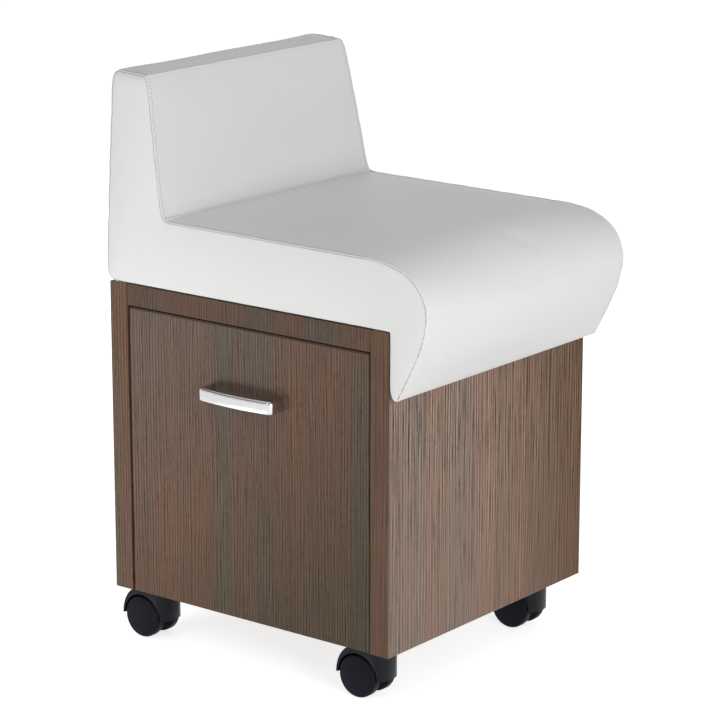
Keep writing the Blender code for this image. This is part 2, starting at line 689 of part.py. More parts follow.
def channel(side, web, edge, half_height, sheet):
    """A C section from its web to its flanges' edge, in (y, z), on one side of the drawer."""
    inner_web = web + math.copysign(sheet, edge - web)
    lip = half_height - sheet
    corners = [
        (web, -half_height),
        (edge, -half_height),
        (edge, -lip),
        (inner_web, -lip),
        (inner_web, lip),
        (edge, lip),
        (edge, half_height),
        (web, half_height),
    ]
    return [(side * (INNER_HALF_DEPTH - u), v) for u, v in corners]


def ball_cage(name, side, web, ball, row, place, holder, steel):
    """A C-shaped cage with a row of balls along each flange."""
    section = channel(side, web, ball + BALL_RADIUS / 2, row + CAGE_SHEET / 2, CAGE_SHEET)
    cage = cross_section(name, section, CAGE_LENGTH, holder, place, steel)
    spacing = (CAGE_LENGTH - 2 * CAGE_END) / (CAGE_BALLS - 1)
    bm = bmesh.new()
    for i in range(CAGE_BALLS):
        for level in (-row, row):
            x = -CAGE_LENGTH / 2 + CAGE_END + i * spacing
            sphere = bmesh.ops.create_uvsphere(bm, u_segments=8, v_segments=4, radius=BALL_RADIUS)
            bmesh.ops.translate(bm, verts=sphere["verts"], vec=(x, side * (INNER_HALF_DEPTH - ball), level))
    balls = put(name + "_balls", mesh_of(bm, name), holder, place)
    cut(cage, balls, operation="UNION")


def slides(root, steel):
    """Two three-part slides. Each part nests in the next, with caged balls between their flanges."""
    start = FRONT_BACK + SLIDE_FRONT_GAP
    length = FAR_SIDE - SLIDE_REAR_GAP - start
    place = (start + length / 2, 0, BOX_LOW + SLIDE_RISE)
    track = 2 * (BALL_RADIUS + JOINT_GAP)
    outer_half = SLIDE_HEIGHT / 2
    middle_half = outer_half - SLIDE_SHEET - track
    drawer_half = middle_half - SLIDE_SHEET - track
    outer_edge = JOINT_GAP + OUTER_FLANGE
    middle_edge = MIDDLE_STANDOFF + MIDDLE_FLANGE
    middle_web_end = MIDDLE_STANDOFF + SLIDE_SHEET
    drawer_web = SLIDE_SPACE - JOINT_GAP
    drawer_edge = drawer_web - DRAWER_FLANGE
    outer_web_end = JOINT_GAP + SLIDE_SHEET
    for side, word in ((-1, "front"), (1, "rear")):
        name = f"{word}_slide_"
        outer = channel(side, JOINT_GAP, outer_edge, outer_half, SLIDE_SHEET)
        cross_section(name + "cabinet_rail", outer, length, root, place, steel)
        middle = channel(side, MIDDLE_STANDOFF, middle_edge, middle_half, SLIDE_SHEET)
        cross_section(name + "middle_rail", middle, length, root, place, steel)
        inner = channel(side, drawer_web, drawer_edge, drawer_half, SLIDE_SHEET)
        cross_section(name + "drawer_rail", inner, length, root, place, steel)
        cage_web = (outer_web_end + MIDDLE_STANDOFF - CAGE_SHEET) / 2
        ball = (middle_web_end + outer_edge) / 2
        ball_cage(name + "outer_balls", side, cage_web, ball, middle_half + track / 2, place, root, steel)
        cage_web = (middle_web_end + drawer_edge - CAGE_SHEET) / 2
        ball = (drawer_edge + middle_edge) / 2
        ball_cage(name + "inner_balls", side, cage_web, ball, drawer_half + track / 2, place, root, steel)


def hood_mesh():
    """The caster hood about its king pin: a stem housing, a web between the wheels and a fender over them."""
    axle = (CASTER_TRAIL, WHEEL_RADIUS)
    side = [(-HOUSING_RADIUS, HOUSING_FLOOR)]
    side += arc((-HOUSING_RADIUS + HOOD_CORNER, HOOD_TOP - HOOD_CORNER), HOOD_CORNER, HOOD_CORNER, 180, 90, 3)
    side += arc(axle, FENDER_RADIUS, HOOD_TOP - WHEEL_RADIUS, 90, 0, 9)
    side += arc(axle, AXLE_BOSS, AXLE_BOSS, 0, -110, 4)
    hood = cross_section("hood_block", side, 2 * HOOD_HALF, None, (0, 0, 0))
    nose = arc((0, -HOUSING_RADIUS + HOUSING_NOSE), HOOD_HALF, HOUSING_NOSE, 180, 360, 12)
    rear = CASTER_TRAIL + FENDER_RADIUS + FENDER_CLEARANCE
    plan = nose + [(HOOD_HALF, rear), (-HOOD_HALF, rear)]
    tall = solid_of(put("hood_plan_outline", outline("hood_plan", plan, 2 * HOOD_TOP + SWIVEL_GAP), None))
    cut(hood, put("hood_plan", tall, None, (0, 0, HOOD_TOP / 2)), operation="INTERSECT")
    pocket = WHEEL_RADIUS + FENDER_CLEARANCE
    beyond = HOOD_HALF + FENDER_SETBACK
    cutters = [
        bar_x("left_pocket", pocket, HOOD_WEB / 2, beyond, *axle, POCKET_STEPS, None),
        bar_x("right_pocket", pocket, -beyond, -HOOD_WEB / 2, *axle, POCKET_STEPS, None),
        bar_x("axle_bore", AXLE_RADIUS + JOINT_GAP, -HOOD_WEB, HOOD_WEB, *axle, TURNED_STEPS, None),
    ]
    socket_low = PLATE_BOTTOM - KING_PIN_LENGTH - SWIVEL_GAP
    socket = KING_PIN_RADIUS + RUNNING_CLEARANCE
    cutters.append(bar_z("pin_socket", socket, socket_low, HOOD_TOP + PLATE_THICKNESS, 0, 0, TURNED_STEPS, None))
    cut(hood, *cutters)
    return solid_of(hood)


def plate_mesh():
    """The fixing plate with its king pin riveted in."""
    reach = PLATE_SIDE / 2 - PLATE_CORNER
    square = []
    for x, y, start in ((reach, reach, 0), (-reach, reach, 90), (-reach, -reach, 180), (reach, -reach, 270)):
        square += arc((x, y), PLATE_CORNER, PLATE_CORNER, start, start + 90, 3)
    flat = solid_of(put("plate_outline", outline("plate", square, PLATE_THICKNESS), None))
    plate = put("plate_block", flat, None, (0, 0, PLATE_BOTTOM + PLATE_THICKNESS / 2))
    pin_low = PLATE_BOTTOM - KING_PIN_LENGTH
    pin_high = PLATE_BOTTOM + PLATE_THICKNESS / 2
    pin = bar_z("king_pin", KING_PIN_RADIUS, pin_low, pin_high, 0, 0, TURNED_STEPS, None)
    cut(plate, pin, operation="UNION")
    mesh = solid_of(plate)
    mesh.transform(Matrix.Translation((0, 0, PLATE_BOTTOM + PLATE_THICKNESS / 2)))
    return mesh


def wheel_profile():
    """Half of a wheel from the middle of its domed outer face to its blind bore."""
    rim = WHEEL_WIDTH - WHEEL_DOME
    bore = AXLE_RADIUS + RUNNING_CLEARANCE
    dome = arc((0, rim), WHEEL_RADIUS - WHEEL_SHOULDER, WHEEL_DOME, 90, 20, 3)
    shoulder = arc((WHEEL_RADIUS - WHEEL_SHOULDER, rim - WHEEL_SHOULDER), WHEEL_SHOULDER, WHEEL_SHOULDER, 90, 0, 2)
    inner = [(WHEEL_RADIUS, 0), (bore, 0), (bore, AXLE_DEPTH), (0, AXLE_DEPTH)]
    return dome + shoulder + inner


def casters(root, plastic, tread, steel):
    """Four swivel casters. Their wheels trail towards the stool's rear."""
    hood, plate = hood_mesh(), plate_mesh()
    reach_x, reach_y = HALF_WIDTH - CASTER_INSET_X, HALF_DEPTH - CASTER_INSET_Y
    corners = {
        "front_right": (-reach_x, -reach_y),
        "front_left": (reach_x, -reach_y),
        "rear_right": (-reach_x, reach_y),
        "rear_left": (reach_x, reach_y),
    }
    for word, (x, y) in corners.items():
        name = f"caster_{word}_"
        swivel = empty(name + "swivel", root, (x, y, 0))
        put(name + "plate", plate, root, (x, y, 0), material=steel)
        put(name + "hood", hood, swivel, (0, 0, 0), (math.pi / 2, 0, math.pi / 2), plastic)
        half = WHEEL_INNER + AXLE_DEPTH - RUNNING_CLEARANCE
        bar_x(name + "axle", AXLE_RADIUS, -half, half, CASTER_TRAIL, WHEEL_RADIUS, TURNED_STEPS, swivel, steel)
        for side, hand in ((-1, "right"), (1, "left")):
            place = (side * WHEEL_INNER, CASTER_TRAIL, WHEEL_RADIUS)
            turn = (0, side * math.pi / 2, 0)
            turned(f"{name}{hand}_wheel", wheel_profile(), TURNED_STEPS, swivel, place, turn, tread)


def main():
    for old in list(bpy.data.objects):
        bpy.data.objects.remove(old, do_unlink=True)
    for collection in (PARTS, CUTTERS):
        bpy.context.scene.collection.children.link(collection)
    vinyl = finish("white_vinyl", (0.80, 0.80, 0.79), 0.45)
    foam = finish("cushion_foam", (0.85, 0.78, 0.55), 0.95)
    plywood = finish("plywood", (0.55, 0.40, 0.24), 0.7)
    laminate = finish("wood_laminate", (0.20, 0.14, 0.11), 0.5)
    melamine = finish("drawer_melamine", (0.72, 0.71, 0.68), 0.5)
    chrome = finish("chrome", (0.80, 0.81, 0.83), 0.08, 1.0)
    steel = finish("zinc_steel", (0.58, 0.59, 0.60), 0.35, 1.0)
    plastic = finish("black_nylon", (0.012, 0.012, 0.013), 0.35)
    tread = finish("wheel_nylon", (0.022, 0.024, 0.030), 0.45)

    left = -FRONT_FACE + HANDLE_PROJECTION
    right = SEAT_HALF + SIDE_BULGE
    ahead = HALF_DEPTH + NOSE_REACH + SEAT_CROWN
    caster_rear = HALF_DEPTH - CASTER_INSET_Y + CASTER_TRAIL + FENDER_RADIUS
    behind = max(REAR_FACE, caster_rear)
    root = empty("manicure_stool", None, ((left - right) / 2, (ahead - behind) / 2, 0))
    top_panel = cabinet(root, laminate)
    seat(root, top_panel, vinyl, foam, plywood, steel)
    drawer(root, laminate, melamine, chrome, steel)
    slides(root, steel)
    casters(root, plastic, tread, steel)


main()
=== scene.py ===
# %% [markdown]
# # Dressing a manicure stool
# The stool is a padded white vinyl seat with a low back, on a rolling wood-laminate cabinet with one deep drawer.
# Its solids are already built and packed. This lesson loads them as a fixed frame, then gives every piece the
# surface that the real one has: sewn vinyl, upright wood grain, chrome, zinc and moulded nylon.

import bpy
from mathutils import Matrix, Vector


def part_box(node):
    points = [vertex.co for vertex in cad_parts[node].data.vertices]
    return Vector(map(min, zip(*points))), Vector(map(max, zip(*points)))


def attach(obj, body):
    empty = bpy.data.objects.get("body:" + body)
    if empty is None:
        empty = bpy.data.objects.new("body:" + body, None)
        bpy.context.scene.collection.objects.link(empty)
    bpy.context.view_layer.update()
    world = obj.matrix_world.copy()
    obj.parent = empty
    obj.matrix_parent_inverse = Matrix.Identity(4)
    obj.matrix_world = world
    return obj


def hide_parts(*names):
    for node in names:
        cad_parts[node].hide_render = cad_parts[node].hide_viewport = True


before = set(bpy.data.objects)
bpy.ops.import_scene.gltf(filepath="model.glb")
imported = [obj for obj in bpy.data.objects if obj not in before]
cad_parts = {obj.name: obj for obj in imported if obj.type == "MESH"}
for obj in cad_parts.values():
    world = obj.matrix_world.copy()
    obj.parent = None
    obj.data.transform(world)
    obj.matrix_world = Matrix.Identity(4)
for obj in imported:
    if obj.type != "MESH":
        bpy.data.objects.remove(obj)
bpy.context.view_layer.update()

# %% [markdown]
# ## Tools
# Blender's own modules do the work: `bmesh` edits meshes, `numpy` handles many points at once, and a BVH tree
# finds the nearest spot on a surface, which is how stitches are laid on a cushion later on.

# %% Import the tools
import math

import bmesh
import bpy
import numpy as np
from mathutils import Matrix, Vector
from mathutils.bvhtree import BVHTree

scene = bpy.context.scene
scene.view_settings.view_transform = "Standard"


def linked(name, data):
    """A new object in the scene."""
    made = bpy.data.objects.new(name, data)
    scene.collection.objects.link(made)
    return made


print("view transform:", scene.view_settings.view_transform)

# %% [markdown]
# ## Measuring the cabinet
# Everything is placed from the solids, so the lesson starts by reading where the cabinet is. Its top, in the
# middle, is the point that the seat is measured from.

# %% Measure the cabinet
front_low, front_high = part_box("front_panel")
_, back_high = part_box("back_panel")
CABINET_MIDDLE_X = (front_low.x + front_high.x) / 2
CABINET_MIDDLE_Y = (front_low.y + back_high.y) / 2
CABINET_TOP = front_high.z
HALF_WIDTH = (front_high.x - front_low.x) / 2
HALF_DEPTH = (back_high.y - front_low.y) / 2
print(f"cabinet {2000 * HALF_WIDTH:.0f} x {2000 * HALF_DEPTH:.0f} mm, top at {1000 * CABINET_TOP:.1f} mm")

# %% [markdown]
# ## Camera
# The photograph was taken from the drawer's corner, a little above the seat, with a long lens that keeps the
# upright edges nearly parallel. The camera is set by an angle round the stool, a height angle, a distance and
# the point that it aims at, which is easier to reason about than a bare position.

# %% Place the camera
CAMERA_TURN = math.radians(-51.929)
CAMERA_HEIGHT = math.radians(14.705)
CAMERA_DISTANCE = 3.4572
CAMERA_AIM = Vector((0.0174, 0.01575, 0.3306))
SENSOR_WIDTH, LENS = 36, 150
towards_camera = Vector((
    math.sin(CAMERA_TURN) * math.cos(CAMERA_HEIGHT),
    -math.cos(CAMERA_TURN) * math.cos(CAMERA_HEIGHT),
    math.sin(CAMERA_HEIGHT),
))
camera = linked("camera", bpy.data.cameras.new("camera"))
camera.data.sensor_width, camera.data.lens = SENSOR_WIDTH, LENS
camera.location = CAMERA_AIM + towards_camera * CAMERA_DISTANCE
camera.rotation_euler = (-towards_camera).to_track_quat("-Z", "Y").to_euler()
scene.camera = camera
print("camera at", [round(v, 3) for v in camera.location])

# %% [markdown]
# ## Shader nodes in one line
# A procedural finish is a small graph. One helper adds a node, sets its options and either sets or links its
# sockets; others make colour ramps, mixes, noises and bumps. With these a finish reads like a recipe.

# %% Node helpers
def plug(tree, socket, value):
    """Link a socket, or set it; a colour gets its alpha."""
    if isinstance(value, bpy.types.NodeSocket):
        tree.links.new(value, socket)
    else:
        colour = socket.type == "RGBA" and isinstance(value, tuple)
        socket.default_value = (*value, 1) if colour else value


def node(tree, kind, inputs=None, **options):
    """Add a node, set its options, and set or link its input sockets."""
    made = tree.nodes.new(kind)
    for option, value in options.items():
        setattr(made, option, value)
    for socket, value in (inputs or {}).items():
        plug(tree, made.inputs[socket], value)
    return made


def maths(tree, operation, *values):
    """One sum on numbers."""
    return node(tree, "ShaderNodeMath", dict(enumerate(values)), operation=operation).outputs[0]


def vectors(tree, operation, *values):
    """One sum on vectors."""
    made = node(tree, "ShaderNodeVectorMath", dict(enumerate(values)), operation=operation)
    return made.outputs["Value" if operation == "DOT_PRODUCT" else "Vector"]


def ramp(tree, factor, stops):
    """A colour ramp from (place, colour or grey) stops."""
    made = node(tree, "ShaderNodeValToRGB", {"Fac": factor})
    elements = made.color_ramp.elements
    while len(elements) < len(stops):
        elements.new(0.5)
    for element, (place, colour) in zip(elements, stops):
        element.position = place
        element.color = (*colour, 1) if isinstance(colour, tuple) else (colour, colour, colour, 1)
    return made.outputs["Color"]


def drift(tree, factor, low, high):
    """A ramp between two colours or greys over the middle of a noise."""
    return ramp(tree, factor, [(0.3, low), (0.7, high)])


def mixed(tree, factor, first, second, blend="MIX"):
    """Two colours mixed by a factor."""
    inputs = {0: factor, 6: first, 7: second}
    return node(tree, "ShaderNodeMix", inputs, data_type="RGBA", blend_type=blend).outputs[2]


def times(tree, first, second):
    """Two colours multiplied."""
    return mixed(tree, 1.0, first, second, "MULTIPLY")


print("node helpers ready")

# %% Helpers for a whole finish
def new_finish(name, **constants):
    """A material, its node tree, and a function that sets or links its shader's sockets by name."""
    material = bpy.data.materials.new(name)
    material.use_nodes = True
    tree = material.node_tree
    shader = tree.nodes["Principled BSDF"]

    def put(**sockets):
        for socket, value in sockets.items():
            plug(tree, shader.inputs[socket.replace("_", " ")], value)

    put(**constants)
    return material, tree, put


def scaled_place(tree, scale):
    """The piece's own coordinates, in metres, times one number or a number for each axis."""
    place = node(tree, "ShaderNodeTexCoord").outputs["Object"]
    scale = scale if isinstance(scale, tuple) else (scale, scale, scale)
    return node(tree, "ShaderNodeMapping", {"Vector": place, "Scale": scale}).outputs["Vector"]


def noise(tree, place, detail=2.0, roughness=0.5):
    """Smooth noise at a place, as a factor."""
    inputs = {"Vector": place, "Scale": 1.0, "Detail": detail, "Roughness": roughness}
    return node(tree, "ShaderNodeTexNoise", inputs).outputs["Fac"]


def own_noise(tree, scale, detail=2.0, roughness=0.5):
    """Smooth noise in the piece's own coordinates."""
    return noise(tree, scaled_place(tree, scale), detail, roughness)


def cells(tree, scale, **options):
    """The outputs of a pattern of cells in the piece's own coordinates."""
    inputs = {"Vector": scaled_place(tree, scale), "Scale": 1.0}
    return node(tree, "ShaderNodeTexVoronoi", inputs, **options).outputs


def bump(tree, height, distance, strength=1.0, under=None):
    """A bump that stands a distance in metres high."""
    inputs = {"Height": height, "Distance": distance, "Strength": strength}
    if under is not None:
        inputs["Normal"] = under
    return node(tree, "ShaderNodeBump", inputs).outputs["Normal"]


print("finish helpers ready")

# %% [markdown]
# ## Studio
# The photograph is a cut-out on white. Its upright faces are bright and its level faces dimmer, so wide panels stand
# at the drawer's corner and at the front, under a soft dim sky, and another lights the back. The handle's shadow lies
# above it, so a small lamp stands near the floor on the drawer side, hidden from mirrors so that the chrome doesn't
# show it as a patch. The powers were found by lighting the stool with one lamp at a time and adding the pictures up.
# What is seen, straight or in a mirror or through glass, is a white backdrop with a dark band under a pale ceiling,
# which draws a thin dark line along a chromed edge. The floor adds a little white where it is seen, and so keeps a
# faint shadow under the casters.

# %% Light the studio
HORIZON_LIGHT, ZENITH_LIGHT = 0.10, 0.47
GLOW_START, GLOW_END = 0.10, 0.50
BACKDROP, DARK_BAND, CEILING = 1.0, 0.12, 0.70
WALL_TOP, BAND_START, BAND_END, CEILING_START = 0.40, 0.46, 0.62, 0.72

scene.world = bpy.data.worlds.new("studio")
scene.world.use_nodes = True
sky = scene.world.node_tree
sky.nodes.clear()
direction = node(sky, "ShaderNodeTexCoord").outputs["Generated"]
height = node(sky, "ShaderNodeSeparateXYZ", {"Vector": direction}).outputs["Z"]
glow = ramp(sky, height, [(GLOW_START, HORIZON_LIGHT), (GLOW_END, ZENITH_LIGHT)])
wall = ramp(sky, height, [
    (WALL_TOP, BACKDROP), (BAND_START, DARK_BAND), (BAND_END, DARK_BAND), (CEILING_START, CEILING),
])


def seen_rays(tree):
    """1 where a surface is looked at, also in a mirror or through glass, and 0 where it only lights others."""
    paths = node(tree, "ShaderNodeLightPath").outputs
    mirrored = maths(tree, "MAXIMUM", paths["Is Camera Ray"], paths["Is Glossy Ray"])
    return maths(tree, "MAXIMUM", mirrored, paths["Is Transmission Ray"])


light, backdrop = (node(sky, "ShaderNodeBackground", {"Color": colour}).outputs[0] for colour in (glow, wall))
choice = node(sky, "ShaderNodeMixShader", {0: seen_rays(sky), 1: light, 2: backdrop})
node(sky, "ShaderNodeOutputWorld", {"Surface": choice.outputs[0]})
print("world light", HORIZON_LIGHT, "at the horizon,", ZENITH_LIGHT, "overhead")

# %% Add the lamps
LAMPS = {  # place, height of the aim, width, height, power
    "low_side_lamp": ((-1.05, 0.50, 0.08), 0.4, 0.30, 0.14, 3.9),
    "high_side_lamp": ((-2.0, 0.3, 1.5), 0.5, 1.0, 1.0, 4),
    "corner_lamp": ((-1.0, -2.4, 0.7), 0.4, 1.0, 0.8, 26),
    "front_lamp": ((0.4, -2.6, 0.8), 0.4, 1.2, 0.8, 5),
    "rear_lamp": ((1.5, 2.0, 0.4), 0.4, 1.2, 0.8, 14),
}
for name, (place, aim, width, tall, power) in LAMPS.items():
    lamp = bpy.data.lights.new(name, "AREA")
    lamp.shape = "RECTANGLE"
    lamp.size, lamp.size_y, lamp.energy = width, tall, power
    holder = linked(name, lamp)
    holder.location = place
    holder.rotation_euler = (Vector((0, 0, aim)) - Vector(place)).to_track_quat("-Z", "Y").to_euler()
    holder.visible_glossy = name != "low_side_lamp"
print("lamps:", list(LAMPS))

# %% Lay the floor
FLOOR_HALF = 7.0
CAMERA_WHITE = 0.72


def mesh_piece(name, points, faces, finish=None, smooth=True):
    """A new piece from points and faces."""
    mesh = bpy.data.meshes.new(name)
    mesh.from_pydata([tuple(p) for p in points], [], [tuple(f) for f in faces])
    if smooth:
        mesh.shade_smooth()
    if finish:
        mesh.materials.append(finish)
    return linked(name, mesh)


floor_finish, tree, put = new_finish("pale_floor", Roughness=0.9, Specular_IOR_Level=0.0)
put(Base_Color=drift(tree, own_noise(tree, 40), 0.90, 0.92), Emission_Color=(1, 1, 1),
    Emission_Strength=maths(tree, "MULTIPLY", seen_rays(tree), CAMERA_WHITE))
floor_corners = [(FLOOR_HALF * x, FLOOR_HALF * y, 0) for x, y in ((-1, -1), (1, -1), (1, 1), (-1, 1))]
floor = mesh_piece("studio_floor", floor_corners, [(0, 1, 2, 3)], floor_finish, smooth=False)
print("floor", 2 * FLOOR_HALF, "m wide")

# %% [markdown]
# ## Wood laminate
# The boards are faced with a brown-grey printed laminate whose grain runs upright on every face, also on the
# short rail above the drawer. A photograph of real veneer would be quicker, but a recipe can be set to any board.
# Noises stretched along the grain build it from broad to fine: bands that swing between reddish and greenish
# brown, streaks of a centimetre, close lines about four millimetres apart whose spacing wanders, short ticks, and a
# few orange lines. The front panel has stronger lines that fade towards the floor, and its edging is as dark as the
# drawer. Its face is painted paler than the drawer, as painted light on the face that looks forward, with a painted
# sheen towards one side and painted shade towards the other. The drawer front has a painted sheen towards its upper
# rear corner and painted shade low down, and the rail above the drawer is painted darker as painted shade under the
# seat.

# %% A recipe for laminate
EVEN_BROWN, GREENISH = (0.146, 0.096, 0.070), (0.131, 0.101, 0.077)
REDDISH, ORANGE = (0.165, 0.099, 0.070), (0.200, 0.115, 0.072)
# Each grain is a noise's scale across the board, its scale along it, and its detail.
BAND_GRAIN, STREAK_GRAIN, ORANGE_GRAIN = (24, 0.6, 0.6), (125, 1.2, 2.0), (82, 0.35, 0.0)
WANDER_GRAINS, GRAIN_ROUGHNESS = ((95, 7.0, 1.0), (60, 4.0, 1.0)), 0.55
TICK_ACROSS, TICK_ALONG, PATCH_ACROSS, PATCH_ALONG, SWAY_ACROSS, SWAY_ALONG = 400, 150, 150, 20, 9.0, 3.5
SWAY, STREAKS, TICKS, SEED_STEPS = 0.008, 0.14, 0.12, (1.0, 1.7, 0.3)
LINE_PITCHES, LINE_WANDER, LINE_DARK, LINE_PALE = (0.0037, 0.0042), 14.0, 1.7, 0.55
CALM, FADED = 0.45, 0.5


def laminate_finish(name, tone, contrast, hue=1.0, spacing=1.0, grain_axis=2, seed=0.0, tints_and_painted_light=None,
                    calm_below=None, fade=None):
    """Wood laminate with its grain along one axis.

    Tints and painted light are a direction and (distance, colour) stops along it: an even tone on the carcass,
    painted sheen and painted shade on the drawer front, and the same beside a dark edging on the front panel. The
    lines are weak below an x, if one is given, and fade from an upper to a lower z, if these are.
    """
    material, tree, put = new_finish(name, Specular_IOR_Level=0.15)
    place = node(tree, "ShaderNodeTexCoord").outputs["Object"]

    def stretched(vector, across, along):
        scale = [across, across, across]
        scale[grain_axis] = along
        return node(tree, "ShaderNodeMapping", {"Vector": vector, "Scale": scale}).outputs[0]

    shifted = vectors(tree, "ADD", place, tuple(seed * step for step in SEED_STEPS))
    slow = {"Vector": stretched(shifted, SWAY_ACROSS, SWAY_ALONG), "Scale": 1.0, "Detail": 1.5}
    sway = vectors(tree, "SUBTRACT", node(tree, "ShaderNodeTexNoise", slow).outputs["Color"], (0.5, 0.5, 0.5))
    swayed = vectors(tree, "ADD", shifted, vectors(tree, "MULTIPLY", sway, (SWAY, SWAY, SWAY)))

    def grain(across, along, detail):
        return noise(tree, stretched(swayed, across, along), detail, GRAIN_ROUGHNESS)

    def swing(factor, amount):
        return drift(tree, factor, 1 - amount, 1 + amount)

    def toned(colour):
        return tuple((even + (channel - even) * hue) * tone for channel, even in zip(colour, EVEN_BROWN))

    bands = [(0.36, toned(GREENISH)), (0.50, toned(EVEN_BROWN)), (0.64, toned(REDDISH))]
    colour = ramp(tree, grain(*BAND_GRAIN), bands)
    colour = times(tree, colour, swing(grain(*STREAK_GRAIN), STREAKS * contrast))
    sideways = vectors(tree, "DOT_PRODUCT", place, [float(axis != grain_axis) for axis in range(3)])

    def fine_lines(pitch, wander):
        """Close lines of a pitch in metres, whose spacing wanders with a grain."""
        shift = maths(tree, "MULTIPLY", grain(*wander), LINE_WANDER)
        wave = maths(tree, "SINE", maths(tree, "MULTIPLY_ADD", sideways, 2 * math.pi / (pitch * spacing), shift))
        dark, pale = 1 - LINE_DARK * contrast, 1 + LINE_PALE * contrast
        return ramp(tree, maths(tree, "MULTIPLY_ADD", wave, 0.5, 0.5), [(0.0, dark), (0.4, 1.0), (1.0, pale)])

    lines = times(tree, *map(fine_lines, LINE_PITCHES, WANDER_GRAINS))
    lines = times(tree, lines, swing(grain(TICK_ACROSS / spacing, TICK_ALONG, 0.0), TICKS))
    strength = ramp(tree, grain(PATCH_ACROSS / spacing, PATCH_ALONG, 1.0), [(0.36, 0.25), (0.60, 1.0)])
    x, _, z = node(tree, "ShaderNodeSeparateXYZ", {"Vector": place}).outputs
    if calm_below is not None:
        inside = maths(tree, "GREATER_THAN", x, calm_below)
        strength = times(tree, strength, ramp(tree, inside, [(0.0, CALM), (1.0, 1.0)]))
    if fade is not None:
        shares = {"Value": z, "From Min": fade[0], "From Max": fade[1], "To Min": FADED, "To Max": 1.0}
        strength = maths(tree, "MULTIPLY", strength, node(tree, "ShaderNodeMapRange", shares).outputs[0])
    colour = mixed(tree, strength, colour, times(tree, colour, lines))
    orange = ramp(tree, grain(*ORANGE_GRAIN), [(0.74, 0.0), (0.76, 0.5), (0.78, 0.0)])
    colour = mixed(tree, orange, colour, toned(ORANGE))
    # These multiply the colour; on the front panel and the drawer front they are painted sheen and painted shade.
    if tints_and_painted_light:
        heading, stops = tints_and_painted_light
        low, high = stops[0][0], stops[-1][0]
        reach = vectors(tree, "DOT_PRODUCT", place, heading)
        share = node(tree, "ShaderNodeMapRange", {"Value": reach, "From Min": low, "From Max": high}).outputs[0]
        stops = [((at - low) / (high - low), tint) for at, tint in stops]
        colour = times(tree, colour, ramp(tree, share, stops))
    put(Base_Color=colour, Roughness=ramp(tree, lines, [(0.6, 0.58), (1.0, 0.46)]),
        Normal=bump(tree, lines, 0.00005, 0.5))
    return material


print("line pitches:", [f"{1000 * pitch:.1f} mm" for pitch in LINE_PITCHES])

# %% Make the wood finishes
# PAINTED_SHEEN is a pale bluish painted sheen on the front panel towards low x, and PAINTED_SHADE painted shade
# towards high x.
EDGING, PAINTED_SHEEN, WARM, PAINTED_SHADE = (0.470, 0.435, 0.39), (0.97, 1.09, 1.22), (1.05, 1.05, 1.06), (0.53, 0.46, 0.36)
# PAINTED_SHEEN_UPPER and PAINTED_SHADE_LOWER are painted light on the drawer front: a pale greyer sheen towards its
# upper rear corner, shade towards its lower front.
PAINTED_SHEEN_UPPER, MIDDLE, PAINTED_SHADE_LOWER = (0.91, 1.09, 1.20), (0.91, 0.86, 0.82), (0.59, 0.66, 0.61)
RUSSET = (0.95, 0.86, 0.81)
EDGING_THICK, EDGING_BLEND = 0.0012, 0.0002
FADE_LOW, FADE_HIGH = 0.03, 0.10
edging_end = front_low.x + EDGING_THICK
front_edging_and_painted_light = (1, 0, 0), [
    (front_low.x, EDGING), (edging_end, EDGING), (edging_end + EDGING_BLEND, PAINTED_SHEEN),
    (CABINET_MIDDLE_X, WARM), (front_high.x, PAINTED_SHADE),
]
drawer_painted_light = (0, -1, -1), [(-0.52, PAINTED_SHEEN_UPPER), (-0.27, MIDDLE), (-0.02, PAINTED_SHADE_LOWER)]
carcass_tints = (0, 0, 1), [(0.0, RUSSET), (1.0, RUSSET)]
drawer_laminate = laminate_finish("drawer_laminate", tone=1.0, contrast=0.23, tints_and_painted_light=drawer_painted_light)
carcass_laminate = laminate_finish("carcass_laminate", tone=1.03, contrast=0.20, seed=3.1, tints_and_painted_light=carcass_tints)
# The rail is painted darker than the carcass: painted shade under the seat's overhang.
rail_painted_shade_laminate = laminate_finish("rail_painted_shade_laminate", tone=0.74, contrast=0.20, seed=4.4)
# The front panel's high tone is painted light: the same laminate as the drawer, painted paler because its face takes
# more light.
front_painted_light_laminate = laminate_finish(
    "front_painted_light_laminate", tone=1.79, contrast=0.41, hue=0.5, spacing=1.28, seed=7.3, tints_and_painted_light=front_edging_and_painted_light,
    calm_below=edging_end, fade=(front_low.z + FADE_LOW, front_high.z - FADE_HIGH))
level_laminate = laminate_finish("level_laminate", tone=1.0, contrast=0.32, grain_axis=0, seed=5.0)
# The edging's dark tone is painted shade of the gap under the rail above the drawer.
edging_painted_shade_laminate = laminate_finish("edging_painted_shade_laminate", tone=0.38, contrast=0.08, grain_axis=1, seed=6.2)
print("wood finishes:", [made.name for made in bpy.data.materials if made.name.endswith("laminate")])

# %% [markdown]
# ## Boards
# Laminated board has crisp edges with a tiny round where the edging is trimmed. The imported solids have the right
# sizes, so they stay: a weld joins the points that the file keeps apart, and a bevel takes the sharpness off.

# %% Dress the boards
BOARD_EDGE, DRAWER_EDGE = 0.0007, 0.0015


def ease_edges(piece, width, segments=2, angle=40, join=0.00001):
    """A weld, then a small round on the edges that turn by more than an angle."""
    piece.modifiers.new("weld", "WELD").merge_threshold = join
    easing = piece.modifiers.new("edge", "BEVEL")
    easing.width, easing.segments, easing.angle_limit = width, segments, math.radians(angle)


def dress(name, finish, edge=0.0, segments=2):
    """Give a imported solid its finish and, where asked, a small round on its edges."""
    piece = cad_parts[name]
    piece.data.materials.clear()
    piece.data.materials.append(finish)
    if edge:
        ease_edges(piece, edge, segments)


